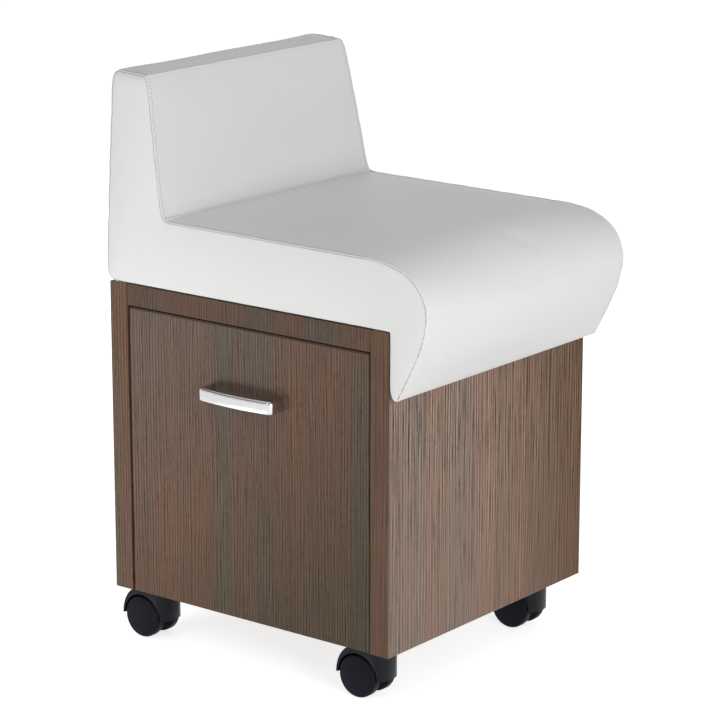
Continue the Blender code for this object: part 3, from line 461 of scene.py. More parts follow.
boards = {"front": front_painted_light_laminate, "back": carcass_laminate, "side": carcass_laminate, "top": rail_painted_shade_laminate,
          "bottom": level_laminate}
dress("drawer_front", drawer_laminate, DRAWER_EDGE, segments=3)
for name, finish in boards.items():
    dress(name + "_panel", finish, BOARD_EDGE)
print("boards dressed:", 1 + len(boards))

# %% [markdown]
# ## The seat's side profile
# One cover wraps the back, the seat and the rolled front that hangs over the cabinet. Seen from the side it is a
# ribbon between two lines: an upper one, from the top of the back down to the seat, over the nose and down to the
# tip of the flap, and a lower one behind and under it. Both are drawn with the same number of points, so a row of
# the cover can be stretched between each pair. The cover ends a millimetre above the cabinet, because the board
# inside it carries the seat, and that gap draws the dark line along the top of the wood.

# %% Set the seat's measures
SIDE_OVER, REAR_OVER, FLAP_CLEAR = 0.003, 0.005, 0.002
SEAT_HALF, REAR_FACE = HALF_WIDTH + SIDE_OVER, HALF_DEPTH + REAR_OVER
SEAT_RISE, SEAT_FALL = 0.0790, 0.0012
BACK_RISE, BACK_TOP_FALL, BACK_TAPER = 0.2437, 0.0045, 0.0107
BACK_TOP_DEPTH, BACK_FOOT_DEPTH = 0.0547, 0.0885
REAR_LEAN, REAR_FOOT = 0.0046, 0.018
BACK_HOLLOW, SEAT_HOLLOW = 0.014, 0.032
NOSE_ROLL, NOSE_REACH, NOSE_LEVEL, NOSE_DROP = 0.030, 0.0520, 0.0245, 0.0735
NOSE_FULL, NOSE_TURN = 0.91, 0.15
NOSE_SLANT, NOSE_SLANT_RISE = 0.0180, 0.036
FLAP_REAR, FLAP_EDGE = -HALF_DEPTH - FLAP_CLEAR, 0.0115
TIP_TURN, TIP_IN = 0.013, 0.0040
TOP_MARGIN, UNDER_GAP = 0.015, 0.0012
BACK_ROWS, HOLLOW_ROWS, SEAT_ROWS, ROLL_ROWS, FLAP_ROWS, TURN_ROWS = 16, 8, 22, 16, 12, 4
print(f"seat {2000 * SEAT_HALF:.0f} mm wide, back {1000 * BACK_RISE:.0f} mm above the cabinet")

# %% Draw the profile
def line_points(start, end, count):
    """Points after the first on a straight line."""
    share = np.linspace(0, 1, count + 1)[1:, None]
    return np.array(start) * (1 - share) + np.array(end) * share


def curve_points(a, b, c, d, count):
    """Points after the first on a cubic curve."""
    t = np.linspace(0, 1, count + 1)[1:, None]
    u = 1 - t
    return u ** 3 * np.array(a) + 3 * u * u * t * np.array(b) + 3 * u * t * t * np.array(c) + t ** 3 * np.array(d)


def unit(rows):
    """Rows of vectors, each made one long."""
    return rows / np.linalg.norm(rows, axis=1)[:, None]


def along(start, end, distance):
    """The point a distance from the start towards the end."""
    start, end = np.array(start), np.array(end)
    return start + (end - start) / np.linalg.norm(end - start) * distance


top_rear = np.array((REAR_FACE - REAR_LEAN, BACK_RISE))
top_front = np.array((top_rear[0] - BACK_TOP_DEPTH, BACK_RISE - BACK_TOP_FALL))
foot = (REAR_FACE - BACK_FOOT_DEPTH, SEAT_RISE)
roll = (-HALF_DEPTH + NOSE_ROLL, SEAT_RISE - SEAT_FALL)
nose = (-HALF_DEPTH - NOSE_REACH, NOSE_LEVEL)
tip = (FLAP_REAR - FLAP_EDGE, -NOSE_DROP)
above, ahead = along(foot, top_front, BACK_HOLLOW), along(foot, roll, SEAT_HOLLOW)
reach, fall = roll[0] - nose[0], nose[1] - tip[1]
over_nose = (roll[0] - reach * NOSE_FULL, roll[1]), (nose[0], nose[1] + reach * NOSE_TURN)
down_flap = (nose[0], nose[1] - fall / 3), (tip[0] - NOSE_SLANT, tip[1] + NOSE_SLANT_RISE)
first = along(top_front, above, TOP_MARGIN)
upper_line = np.vstack([
    [first],
    line_points(first, above, BACK_ROWS),
    curve_points(above, foot, foot, ahead, HOLLOW_ROWS),
    line_points(ahead, roll, SEAT_ROWS),
    curve_points(roll, *over_nose, nose, ROLL_ROWS),
    curve_points(nose, *down_flap, tip, FLAP_ROWS),
])
rear_foot, under = (REAR_FACE, REAR_FOOT), (REAR_FACE - REAR_FOOT, UNDER_GAP)
turn, tip_in = (FLAP_REAR, TIP_TURN - NOSE_DROP), (FLAP_REAR - TIP_IN, -NOSE_DROP)
heel = (REAR_FACE, REAR_FOOT / 4), (REAR_FACE - REAR_FOOT / 4, UNDER_GAP)
round_tip = (turn[0], turn[1] - TIP_TURN / 2), along(tip_in, turn, TIP_TURN / 3)
first = along(top_rear, rear_foot, TOP_MARGIN)
lower_line = np.vstack([
    [first],
    line_points(first, rear_foot, BACK_ROWS),
    curve_points(rear_foot, *heel, under, HOLLOW_ROWS),
    line_points(under, (roll[0], UNDER_GAP), SEAT_ROWS),
    line_points((roll[0], UNDER_GAP), (FLAP_REAR, UNDER_GAP), ROLL_ROWS),
    line_points((FLAP_REAR, UNDER_GAP), turn, FLAP_ROWS - TURN_ROWS),
    curve_points(turn, *round_tip, tip_in, TURN_ROWS),
])
print("profile rows:", len(upper_line))

# %% [markdown]
# ## A section of the cover
# Cut across, the cover is a rectangle with rounded corners: the seat on top, two sides and the underside. The
# points run from the crest of one corner to the next, because the seams lie on those crests and the lesson needs
# to find them again later.

# %% Draw one section
ACROSS, DOWN, ROUND = 32, 9, 3


def section(half, deep, round_up, round_low):
    """(x, depth) points round the cover, from the crest of the upper -X corner and back to it."""
    turns = np.radians(np.linspace(0, 90, 2 * ROUND + 1))

    def corner(radius, start, way):
        return [(half - radius + radius * np.sin(a), start + way * radius * np.cos(a)) for a in turns]

    def level(low, high, deep):
        return [(x, deep) for x in np.linspace(low, high, ACROSS + 1)[1:-1]]

    side = [(half, d) for d in np.linspace(round_up, deep - round_low, DOWN + 1)[1:-1]]
    right = corner(round_up, round_up, -1) + side + corner(round_low, deep - round_low, 1)[::-1]
    left = [(-x, d) for x, d in reversed(right)]
    crest = len(left) - 1 - ROUND
    top = level(round_up - half, half - round_up, 0.0)
    return np.array(left[crest:] + top + right + level(half - round_low, round_low - half, deep) + left[:crest])


SIDE_A = 2 * ROUND + ACROSS
SIDE_B = 2 * ROUND + DOWN
CREST_UPPER_RIGHT, CREST_UPPER_LEFT = 0, SIDE_A
CREST_LOWER_LEFT, CREST_LOWER_RIGHT = SIDE_A + SIDE_B, 2 * SIDE_A + SIDE_B
AROUND = 2 * (SIDE_A + SIDE_B)
print("points round a section:", AROUND)

# %% [markdown]
# ## Stretching the cover over its rows
# Each row is one section placed between the upper and the lower line. Foam pushes the cover out: the seat and the
# back are crowned in the middle and the sides swell a little. The ends are closed by rows that round over, as
# a padded edge does, and by a grid of faces.

# %% Build the rows
EDGE_ROUND, REAR_ROUND, UNDER_ROUND, TIP_ROUND, TIP_SLACK = 0.0036, 0.0080, 0.0046, 0.0034, 0.0002
SEAT_CROWN, BACK_CROWN, SIDE_SWELL, REAR_SWELL = 0.0080, 0.0035, 0.0015, 0.0015
CROWN_FLATNESS, TIP_CROWN, MARGIN_ROWS = 4, 0.01, 1.5
ROWS = len(upper_line) - 1
HOLLOW_ROW = BACK_ROWS + HOLLOW_ROWS // 2
FLAP_START = ROWS - FLAP_ROWS


def eased(value):
    """A smooth step from 0 to 1."""
    value = np.clip(value, 0, 1)
    return value * value * (3 - 2 * value)


def placed(points, upper, lower):
    """Section points as 3D points between a point of the upper line and one of the lower line."""
    share = points[:, 1:2] / np.linalg.norm(lower - upper)
    return np.column_stack([points[:, 0], upper * (1 - share) + lower * share])


def row_points(row):
    """One row of the cover, crowned and swelled."""
    upper, lower = upper_line[row], lower_line[row]
    deep = np.linalg.norm(lower - upper)
    round_up = EDGE_ROUND + (TIP_ROUND + TIP_SLACK - EDGE_ROUND) * eased((row - FLAP_START) / (FLAP_ROWS - 1))
    round_low = REAR_ROUND + (UNDER_ROUND - REAR_ROUND) * eased((row - BACK_ROWS) / HOLLOW_ROWS)
    down_the_back = (row + MARGIN_ROWS) / (HOLLOW_ROW + MARGIN_ROWS)
    up_the_back = max(0.0, 1 - down_the_back)
    points = section(SEAT_HALF - BACK_TAPER * up_the_back ** 2 * (2 - up_the_back), deep, round_up, round_low)
    found = placed(points, upper, lower)
    step = upper_line[min(row + 1, ROWS)] - upper_line[max(row - 1, 0)]
    outward = np.array((step[1], -step[0])) / np.linalg.norm(step)
    if row <= HOLLOW_ROW:
        swell = BACK_CROWN * math.sin(math.pi * down_the_back)
    else:
        swell = SEAT_CROWN * math.sqrt(math.sin(math.pi * (row - HOLLOW_ROW) / (ROWS - HOLLOW_ROW + TIP_CROWN)))
    flat = 1 - np.abs(points[:, 0] / SEAT_HALF) ** CROWN_FLATNESS
    on_top = np.arange(AROUND) <= SIDE_A
    found[on_top, 1:] += outward * swell * flat[on_top, None]
    on_rear = (np.arange(AROUND) >= CREST_LOWER_LEFT) & (np.arange(AROUND) <= CREST_LOWER_RIGHT)
    if row < BACK_ROWS:
        found[on_rear, 1] += REAR_SWELL * math.sin(math.pi * (row + 1) / (BACK_ROWS + 1)) * flat[on_rear]
    on_side = ~on_top & ~on_rear
    side_swell = SIDE_SWELL * np.sin(np.pi * (points[:, 1] / deep)) * min(1.0, (ROWS - row) / FLAP_ROWS)
    found[on_side, 0] += np.sign(points[on_side, 0]) * side_swell[on_side]
    return found


walls = [row_points(row) for row in range(ROWS)]
print("wall rows:", len(walls))

# %% Round the ends over
TOP_FRONT_ROUND, TOP_REAR_ROUND, TOP_SIDE_ROUND, SIDE_BLEND = 0.0055, 0.0120, 0.0090, 12
TOP_FRONT_CORNER, TOP_REAR_CORNER = 0.0080, 0.0125
TOP_ANGLES, TIP_ANGLES = (0, 15, 30, 45, 60, 75, 90), (0, 30, 60, 90)
FIRST_WALL, TOP_CREST = len(TOP_ANGLES), len(TOP_ANGLES) - 1 - TOP_ANGLES.index(45)


def rounded_end(edge, beside, radius, angles):
    """Rows that turn from a wall onto the flat end that an edge loop outlines."""
    middle = edge.mean(axis=0)
    down = unit(beside - edge)
    run = np.roll(edge, -1, axis=0) - np.roll(edge, 1, axis=0)
    normal = np.cross(edge[SIDE_A] - edge[0], edge[CREST_LOWER_LEFT] - edge[0])
    inward = unit(np.cross(normal / np.linalg.norm(normal), run))
    inward *= np.sign(np.sum(inward * (middle - edge), axis=1))[:, None]
    rows = []
    for angle in np.radians(angles):
        lift, pull = 1 - math.sin(angle), 1 - math.cos(angle)
        rows.append(edge + (down * lift + inward * pull) * radius[:, None])
    return rows


def end_radius(points, deep, at_upper, at_lower, at_sides):
    """The end's rounding at each point of a section: from its upper to its lower side, and at its two ends."""
    between = at_upper + (at_lower - at_upper) * eased(points[:, 1] / deep)
    beside = np.abs(points[:, 0] / points[:, 0].max()) ** SIDE_BLEND
    return between + (np.maximum(at_sides, between) - between) * beside


top_deep = np.linalg.norm(top_rear - top_front)
top_section = section(SEAT_HALF - BACK_TAPER, top_deep, TOP_FRONT_CORNER, TOP_REAR_CORNER)
top_radius = end_radius(top_section, top_deep, TOP_FRONT_ROUND, TOP_REAR_ROUND, TOP_SIDE_ROUND)
top_rows = rounded_end(placed(top_section, top_front, top_rear), walls[0], top_radius, TOP_ANGLES)
tip_deep = np.linalg.norm(lower_line[ROWS] - upper_line[ROWS])
tip_section = section(SEAT_HALF, tip_deep, TIP_ROUND + TIP_SLACK, TIP_ROUND + TIP_SLACK)
tip_edge = placed(tip_section, upper_line[ROWS], lower_line[ROWS])
tip_rows = rounded_end(tip_edge, walls[-1], np.full(AROUND, TIP_ROUND), TIP_ANGLES)
rows = top_rows[::-1] + walls + tip_rows
print("rows in all:", len(rows))

# %% Close the ends
def at_row(row, place):
    """The number of a cover point from its row and its place round the section."""
    return row * AROUND + place % AROUND


def end_grid(loop):
    """Points inside a flat end, from its four sides."""
    a = loop[:SIDE_A + 1]
    b = loop[SIDE_A:SIDE_A + SIDE_B + 1]
    c = loop[CREST_LOWER_LEFT:CREST_LOWER_RIGHT + 1][::-1]
    d = np.vstack([loop[CREST_LOWER_RIGHT:], loop[:1]])[::-1]
    u = np.linspace(0, 1, SIDE_A + 1)[:, None, None]
    v = np.linspace(0, 1, SIDE_B + 1)[None, :, None]
    sides = (1 - v) * a[:, None] + v * c[:, None] + (1 - u) * d[None] + u * b[None]
    corners = (1 - u) * (1 - v) * a[0] + u * (1 - v) * a[-1] + (1 - u) * v * c[0] + u * v * c[-1]
    return sides - corners


def loop_index(i, j):
    """The place in a loop of a grid point on the end's rim, or None inside."""
    if j == 0:
        return i
    if i == SIDE_A:
        return SIDE_A + j
    if j == SIDE_B:
        return CREST_LOWER_RIGHT - i
    return AROUND - j if i == 0 else None


print("end grids:", SIDE_A, "x", SIDE_B, "faces")

# %% Make the cover's mesh
SEAT_LIFT = 0.0003
SEAT_PLACE = Vector((CABINET_MIDDLE_X, CABINET_MIDDLE_Y, CABINET_TOP + SEAT_LIFT))
points = [tuple(p) for row in rows for p in row]
faces = []
for r in range(len(rows) - 1):
    for j in range(AROUND):
        faces.append((at_row(r, j), at_row(r, j + 1), at_row(r + 1, j + 1), at_row(r + 1, j)))
for r in (0, len(rows) - 1):
    grid, index = end_grid(np.array(rows[r])), {}
    for i in range(SIDE_A + 1):
        for j in range(SIDE_B + 1):
            on_rim = loop_index(i, j)
            index[i, j] = len(points) if on_rim is None else at_row(r, on_rim)
            if on_rim is None:
                points.append(tuple(grid[i, j]))
    for i in range(SIDE_A):
        for j in range(SIDE_B):
            faces.append((index[i, j], index[i + 1, j], index[i + 1, j + 1], index[i, j + 1]))
cover = mesh_piece("seat_upholstery", [Vector(p) + SEAT_PLACE for p in points], faces, smooth=False)
shape = bmesh.new()
shape.from_mesh(cover.data)
bmesh.ops.recalc_face_normals(shape, faces=shape.faces)
open_edges = sum(len(edge.link_faces) != 2 for edge in shape.edges)
shape.to_mesh(cover.data)
shape.free()
print("cover:", len(points), "points,", len(faces), "faces, open edges:", open_edges)

# %% [markdown]
# ## Letting the foam push
# A sewn cover isn't a drawn shape: the foam presses it out and the seams hold it back. Cloth with a little inner
# pressure does the same. The seams, the underside and the flap's tip are held, the cover starts slightly small,
# and each point may move only a few millimetres, so the seat keeps the size of its solid.

# %% Find the seams
SEAM_HOLD, TIP_HELD_ROWS = 0.96, 6
last_row = len(rows) - 1
hollow_row = FIRST_WALL + HOLLOW_ROW
rear_start = FIRST_WALL + BACK_ROWS + HOLLOW_ROWS


def side_seam(lower, upper, top_places):
    """A side seam: up the rear of the back, over its top, and down its front to the flap."""
    rear = [at_row(r, lower) for r in range(rear_start, TOP_CREST, -1)]
    top = [at_row(TOP_CREST, j) for j in top_places]
    return rear + top + [at_row(r, upper) for r in range(TOP_CREST + 1, last_row - 1)]


right_top, left_top = range(CREST_LOWER_RIGHT, AROUND + 1), range(CREST_LOWER_LEFT, CREST_UPPER_LEFT - 1, -1)
seams = {
    "right_side": side_seam(CREST_LOWER_RIGHT, CREST_UPPER_RIGHT, right_top),
    "left_side": side_seam(CREST_LOWER_LEFT, CREST_UPPER_LEFT, left_top),
    "back_top": [at_row(TOP_CREST, j) for j in range(SIDE_A + 1)],
    "seat_hollow": [at_row(hollow_row, j) for j in range(SIDE_A + 1)],
}
held = np.zeros(len(points))
for seam in seams.values():
    held[seam] = SEAM_HOLD
for r in range(rear_start, last_row + 1):
    held[at_row(r, CREST_LOWER_LEFT):at_row(r, CREST_LOWER_RIGHT) + 1] = 1.0
held[at_row(last_row + 1 - TIP_HELD_ROWS, 0):at_row(last_row + 1, 0)] = 1.0
held[-(SIDE_A - 1) * (SIDE_B - 1):] = 1.0
print("seams:", {name: len(seam) for name, seam in seams.items()}, "held points:", int((held > 0).sum()))

# %% Press the cover out
START_SMALL, MOST_MOVE, PRESSURE, PRESS_FRAMES = 0.0012, 0.0045, 4.0, 20


def read_points(mesh, kind="co"):
    """A mesh's points, or their normals, as an array."""
    found = np.empty(len(mesh.vertices) * 3)
    mesh.vertices.foreach_get(kind, found)
    return found.reshape(-1, 3)


def press_out(piece, held):
    """Swell a closed cover by cloth pressure, with its held points kept and its moves limited."""
    start = read_points(piece.data) - read_points(piece.data, "normal") * (START_SMALL * (held == 0))[:, None]
    piece.data.vertices.foreach_set("co", start.ravel())
    group = piece.vertex_groups.new(name="held")
    for weight in np.unique(held[held > 0]):
        group.add([int(i) for i in np.flatnonzero(held == weight)], float(weight), "REPLACE")
    cloth = piece.modifiers.new("cloth", "CLOTH")
    cloth.settings.quality = 6
    cloth.settings.mass = 0.3
    cloth.settings.bending_stiffness = 2.0
    cloth.settings.use_pressure = True
    cloth.settings.uniform_pressure_force = PRESSURE
    cloth.settings.effector_weights.gravity = 0
    cloth.settings.vertex_group_mass = "held"
    cloth.point_cache.frame_start, cloth.point_cache.frame_end = 1, PRESS_FRAMES
    for number in range(1, PRESS_FRAMES + 1):
        scene.frame_set(number)
    graph = bpy.context.evaluated_depsgraph_get()
    moved = read_points(piece.evaluated_get(graph).data) - start
    size = np.linalg.norm(moved, axis=1)
    share = MOST_MOVE * np.tanh(size / MOST_MOVE) / np.maximum(size, 1e-9)
    piece.modifiers.remove(cloth)
    piece.vertex_groups.clear()
    scene.frame_set(1)
    piece.data.vertices.foreach_set("co", (start + moved * share[:, None]).ravel())
    piece.data.update()
    return size


size = press_out(cover, held)
print(f"cover pressed out by {1000 * size.mean():.2f} mm on average, {1000 * size.max():.2f} mm at most")

# %% [markdown]
# ## Seams
# A seam draws the cover in along its line and gathers it a little on both sides. After the pressing, the mesh is
# subdivided once and its points near a seam are moved: a narrow valley on the line, and faint ripples beside it
# that fade within a centimetre. A flat seam on a crest stays sharp this way, which bump alone would not show in
# the outline.

# %% Sample the seams
SAMPLE = 0.001
pressed = read_points(cover.data)


def sampled(path, spacing):
    """Points at an even spacing along a path."""
    run = np.concatenate([[0], np.cumsum(np.linalg.norm(np.diff(path, axis=0), axis=1))])
    places = np.linspace(0, run[-1], max(2, int(round(run[-1] / spacing)) + 1))
    return np.column_stack([np.interp(places, run, path[:, k]) for k in range(3)])


def softened(path, passes):
    """A path with its corners eased, ends kept."""
    path = path.copy()
    for _ in range(passes):
        path[1:-1] = path[1:-1] / 2 + (path[:-2] + path[2:]) / 4
    return path


seam_lines = {name: softened(sampled(pressed[seam], SAMPLE), 3) for name, seam in seams.items()}
print({name: f"{len(line) * SAMPLE:.2f} m" for name, line in seam_lines.items()})

# %% Draw the cover in along its seams
VALLEY, VALLEY_WIDTH = 0.0004, 0.0013
RIPPLE, RIPPLE_WIDTH, RIPPLE_LENGTH, RIPPLE_BEAT = 0.00035, 0.0090, 0.023, 0.061
SEAM_REACH, BLOCK = 0.03, 500


def baked(piece):
    """Replace a piece's mesh by what its modifiers make of it."""
    graph = bpy.context.evaluated_depsgraph_get()
    mesh = bpy.data.meshes.new_from_object(piece.evaluated_get(graph))
    piece.modifiers.clear()
    piece.data = mesh
    mesh.name = piece.name
    return mesh


finer = cover.modifiers.new("finer", "SUBSURF")
finer.levels = finer.render_levels = 1
cover_mesh = baked(cover)
surface, outward = read_points(cover_mesh), read_points(cover_mesh, "normal")
height = np.zeros(len(surface))
for number, line in enumerate(seam_lines.values()):
    low, high = line.min(axis=0) - SEAM_REACH, line.max(axis=0) + SEAM_REACH
    near = np.flatnonzero(np.all((surface > low) & (surface < high), axis=1))
    for block in np.array_split(near, max(1, len(near) // BLOCK)):
        gap = np.linalg.norm(surface[block][:, None] - line[None], axis=2)
        distance, turns = gap.min(axis=1), 2 * np.pi * (gap.argmin(axis=1) * SAMPLE)
        wave = np.sin(turns / RIPPLE_LENGTH + number) * np.sin(turns / RIPPLE_BEAT + 2 * number)
        height[block] -= VALLEY * np.exp(-(distance / VALLEY_WIDTH) ** 2)
        height[block] += RIPPLE * wave * np.exp(-(distance / RIPPLE_WIDTH) ** 2)
cover_mesh.vertices.foreach_set("co", (surface + outward * height[:, None]).ravel())
cover_mesh.shade_smooth()
cover_mesh.update()
print("cover mesh:", len(cover_mesh.vertices), "points")

# %% [markdown]
# ## Seam rolls and stitches
# In the photograph every seam shows as a fine pale line, which is the folded edge of the sheet; the rolls that
# make it are a touch paler than the cover, a painted highlight. The two side seams have a darker line on their outer
# side, which is shade in the fold, and as far as the nose a row of small stitches five millimetres inside. The two
# seams that cross the stool are plain, fuller rolls.
# Painting them on would lose them in the outline. So the fold and a dark painted shadow in it are thin tubes laid
# along the crest, and each stitch is a tiny arched length of thread. A BVH tree finds where on the cover each of
# them lies.

# %% Tubes on the cover
cover_tree = BVHTree.FromPolygons(
    [Vector(p) for p in read_points(cover_mesh)],
    [tuple(face.vertices) for face in cover_mesh.polygons],
)


def on_cover(point):
    """The nearest place on the cover and its outward direction."""
    place, normal, _, _ = cover_tree.find_nearest(Vector(point))
    return np.array(place), np.array(normal)


def tube(path, ups, radius, sides, start=0):
    """Points and faces of a closed round tube along a path, with an up direction at each point."""
    run = unit(np.gradient(path, axis=0))
    across = unit(np.cross(run, np.array(ups)))
    ups = np.cross(across, run)
    turns = 2 * np.pi * np.arange(sides) / sides
    ring = across[:, None] * np.cos(turns)[None, :, None] + ups[:, None] * np.sin(turns)[None, :, None]
    made = (path[:, None] + radius * ring).reshape(-1, 3)
    faces = []
    for a in range(start, start + (len(path) - 1) * sides, sides):
        for k in range(sides):
            m = (k + 1) % sides
            faces.append((a + k, a + sides + k, a + sides + m, a + m))
    faces.append(tuple(start + k for k in range(sides)))
    faces.append(tuple(start + (len(path) - 1) * sides + k for k in reversed(range(sides))))
    return made, faces


print("cover faces to search:", len(cover_mesh.polygons))

# %% Lay the seam rolls and their painted shadow
TUBE_STEP, TUBE_SIDES = 0.003, 6
SIDE_SEAMS, CROSS_SEAMS = ("right_side", "left_side"), ("back_top", "seat_hollow")
SIDEWARD = {"right_side": 1, "left_side": -1, "back_top": 1, "seat_hollow": 1}


def laid_along_seams(name, chosen, beside, radius, sunk):
    """A fine tube along chosen seams, a distance towards the side panel and partly sunk into the cover."""
    points, faces = [], []
    for seam in chosen:
        steps = softened(sampled(seam_lines[seam], TUBE_STEP), 2)
        spots = []
        for point, run in zip(steps, unit(np.gradient(steps, axis=0))):
            _, normal = on_cover(point)
            spots.append(on_cover(point + np.cross(run, normal) * beside * SIDEWARD[seam]))
        path = softened(np.array([place + normal * (radius - sunk) for place, normal in spots]), 2)
        made, made_faces = tube(path, [normal for _, normal in spots], radius, TUBE_SIDES, len(points))
        points.extend(made)
        faces.extend(made_faces)
    return mesh_piece(name, points, faces)


seam_rolls = laid_along_seams("seat_seam_rolls", SIDE_SEAMS, beside=-0.00055, radius=0.00075, sunk=0.00025)
cross_rolls = laid_along_seams("seat_cross_rolls", CROSS_SEAMS, beside=0.0, radius=0.00105, sunk=0.00020)
# This tube is a painted shadow: a thin dark tube that stands in for the shade in the side seams' fold.
seam_shadow_tube = laid_along_seams("seat_seam_painted_shadow", SIDE_SEAMS, beside=0.00055, radius=0.00040, sunk=0.00031)
print({piece.name: len(piece.data.vertices) for piece in (seam_rolls, cross_rolls, seam_shadow_tube)})

# %% Sew the stitches
STITCH_PITCH, STITCH_HALF, THREAD = 0.0040, 0.0013, 0.00034
STITCH_INSIDE, SIDE_FACING = 0.0052, 0.7
STITCH_RINGS, STITCH_SIDES = 4, 5
STITCH_SPAN, STITCH_ARCH, STITCH_DIP = 0.86, 0.35, 0.9
NOSE_START = CABINET_MIDDLE_Y + roll[0]


def stitch(place, run, up):
    """Points of one arched stitch: rings along the thread and a point at each end."""
    side = np.cross(up, run)
    made = [place - run * STITCH_HALF - up * THREAD]
    for i in range(STITCH_RINGS):
        t = (i + 0.5) / STITCH_RINGS * 2 - 1
        middle = place + run * STITCH_HALF * STITCH_SPAN * t + up * THREAD * (STITCH_ARCH - STITCH_DIP * t * t)
        for k in range(STITCH_SIDES):
            turn = 2 * math.pi * k / STITCH_SIDES
            made.append(middle + (side * math.cos(turn) + up * math.sin(turn)) * THREAD)
    made.append(place + run * STITCH_HALF - up * THREAD)
    return made


def stitch_faces(start):
    """Faces of one stitch whose points begin at a number."""
    ring = [[start + 1 + i * STITCH_SIDES + k for k in range(STITCH_SIDES)] for i in range(STITCH_RINGS)]
    end = start + 1 + STITCH_RINGS * STITCH_SIDES
    faces = []
    for k in range(STITCH_SIDES):
        m = (k + 1) % STITCH_SIDES
        faces.append((start, ring[0][m], ring[0][k]))
        for near, far in zip(ring, ring[1:]):
            faces.append((near[k], near[m], far[m], far[k]))
        faces.append((end, ring[-1][k], ring[-1][m]))
    return faces


thread_points, thread_faces = [], []
for name in SIDE_SEAMS:
    path = softened(sampled(seam_lines[name], STITCH_PITCH), 1)
    for point, run in zip(path[1:-1], unit(np.gradient(path, axis=0))[1:-1]):
        _, normal = on_cover(point)
        place, up = on_cover(point - np.cross(run, normal) * STITCH_INSIDE * SIDEWARD[name])
        if point[1] < NOSE_START or abs(up[0]) > SIDE_FACING:
            continue
        run = run - up * run.dot(up)
        thread_faces.extend(stitch_faces(len(thread_points)))
        thread_points.extend(stitch(place, run / np.linalg.norm(run), up))
seat_stitches = mesh_piece("seat_stitches", thread_points, thread_faces)
print("stitches:", len(thread_points) // (STITCH_RINGS * STITCH_SIDES + 2))

# %% [markdown]
# ## Vinyl and thread
# Upholstery vinyl is a soft satin sheet with a pressed grain of cells about a millimetre wide. Small Voronoi cells
# give the grain as bump, slow noise lets the white drift by a hair, and the roughness follows the grain. The
# thread is greyer than the vinyl, partly its own grey and partly painted shade of the stitch holes, which is how
# the stitches show at all.

# %% Make the vinyl
def vinyl_finish(name, shade):
    """White vinyl with a fine pressed grain."""
    material, tree, put = new_finish(name, Specular_IOR_Level=0.25, Sheen_Weight=0.04, Sheen_Roughness=0.4)
    cream, white = (shade, shade, shade * 0.992), (shade * 1.025, shade * 1.025, shade * 1.02)
    pressed_cells = cells(tree, 950, feature="SMOOTH_F1")["Distance"]
    normal = bump(tree, own_noise(tree, 22, 3.0, 0.6), 0.0012, 0.22)
    normal = bump(tree, pressed_cells, 0.00010, 0.35, normal)
    put(Base_Color=drift(tree, own_noise(tree, 7, 3.0), cream, white),
        Roughness=ramp(tree, pressed_cells, [(0.1, 0.42), (0.8, 0.54)]),
        Normal=bump(tree, own_noise(tree, 2600), 0.00003, 0.3, normal))
    return material


def thread_and_shadow_finish(name, turns, dark, pale):
    """Sewing thread whose tone changes with its twist; the same finish in other tones is the painted shadow in the
    side seams' fold.
    """
    material, tree, put = new_finish(name, Roughness=0.75, Specular_IOR_Level=0.2)
    inputs = {"Vector": scaled_place(tree, turns), "Scale": 1.0, "Distortion": 2.0}
    twist = node(tree, "ShaderNodeTexWave", inputs, bands_direction="DIAGONAL").outputs["Fac"]
    put(Base_Color=ramp(tree, twist, [(0.2, dark), (0.8, pale)]), Normal=bump(tree, twist, 0.00005, 0.4))
    return material


# The seam rolls' vinyl is a touch paler than the cover's: a painted highlight on the folded edges.
white_vinyl, painted_highlight_roll_vinyl = vinyl_finish("white_vinyl", 0.80), vinyl_finish("seam_vinyl_painted_highlight", 0.83)
# The sewing thread's dark grey is partly its own colour and partly painted shade of the stitch holes.
thread = thread_and_shadow_finish("sewing_thread_and_hole_shade", 900, 0.28, 0.40)
seam_painted_shadow = thread_and_shadow_finish("seam_painted_shadow", 150, 0.26, 0.56)
seat_finishes = {cover: white_vinyl, seam_rolls: painted_highlight_roll_vinyl, cross_rolls: painted_highlight_roll_vinyl, seam_shadow_tube: seam_painted_shadow,
                 seat_stitches: thread}
for piece, finish in seat_finishes.items():
    piece.data.materials.append(finish)
    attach(piece, "cabinet")
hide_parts("seat_cover", "seat_foam")
print("seat pieces:", [piece.name for piece in seat_finishes])

# %% [markdown]
# ## Handle
# The pull is a chromed bar, bowed outwards, that turns back into two legs. A curve with a round bevel would soften
# it all over, but the real one has a flat face, crisp corners and narrow rims. So its outline is drawn in plan and
# stacked in levels, which shrink near the top and the bottom to round the rims.

# %% Draw the handle in plan
PULL_STRAP, PULL_BOW = 0.0086, 0.0045
OUTER_CORNER, INNER_CORNER, CORNER_RUN, CORNER_CLEAR = 0.0062, 0.0030, 0.01, 0.006
pull_low, pull_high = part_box("drawer_handle")
pull_reach = (pull_high.y - pull_low.y) / 2
pull_out = pull_high.x - pull_low.x
pull_middle = (pull_low.y + pull_high.y) / 2


def bow_at(y, inside=0.0):
    """How far the bar stands out at a distance from its middle."""
    return pull_out - inside - PULL_BOW * (y / pull_reach) ** 2


def rounded_corner(before, corner, after, radius, steps=6):
    """Points that round a corner of an outline."""
    corner = np.array(corner)
    start, end = along(corner, before, radius), along(corner, after, radius)
    t = np.linspace(0, 1, steps + 1)[:, None]
    return [tuple(p) for p in (1 - t) ** 2 * start + 2 * t * (1 - t) * corner + t * t * end]


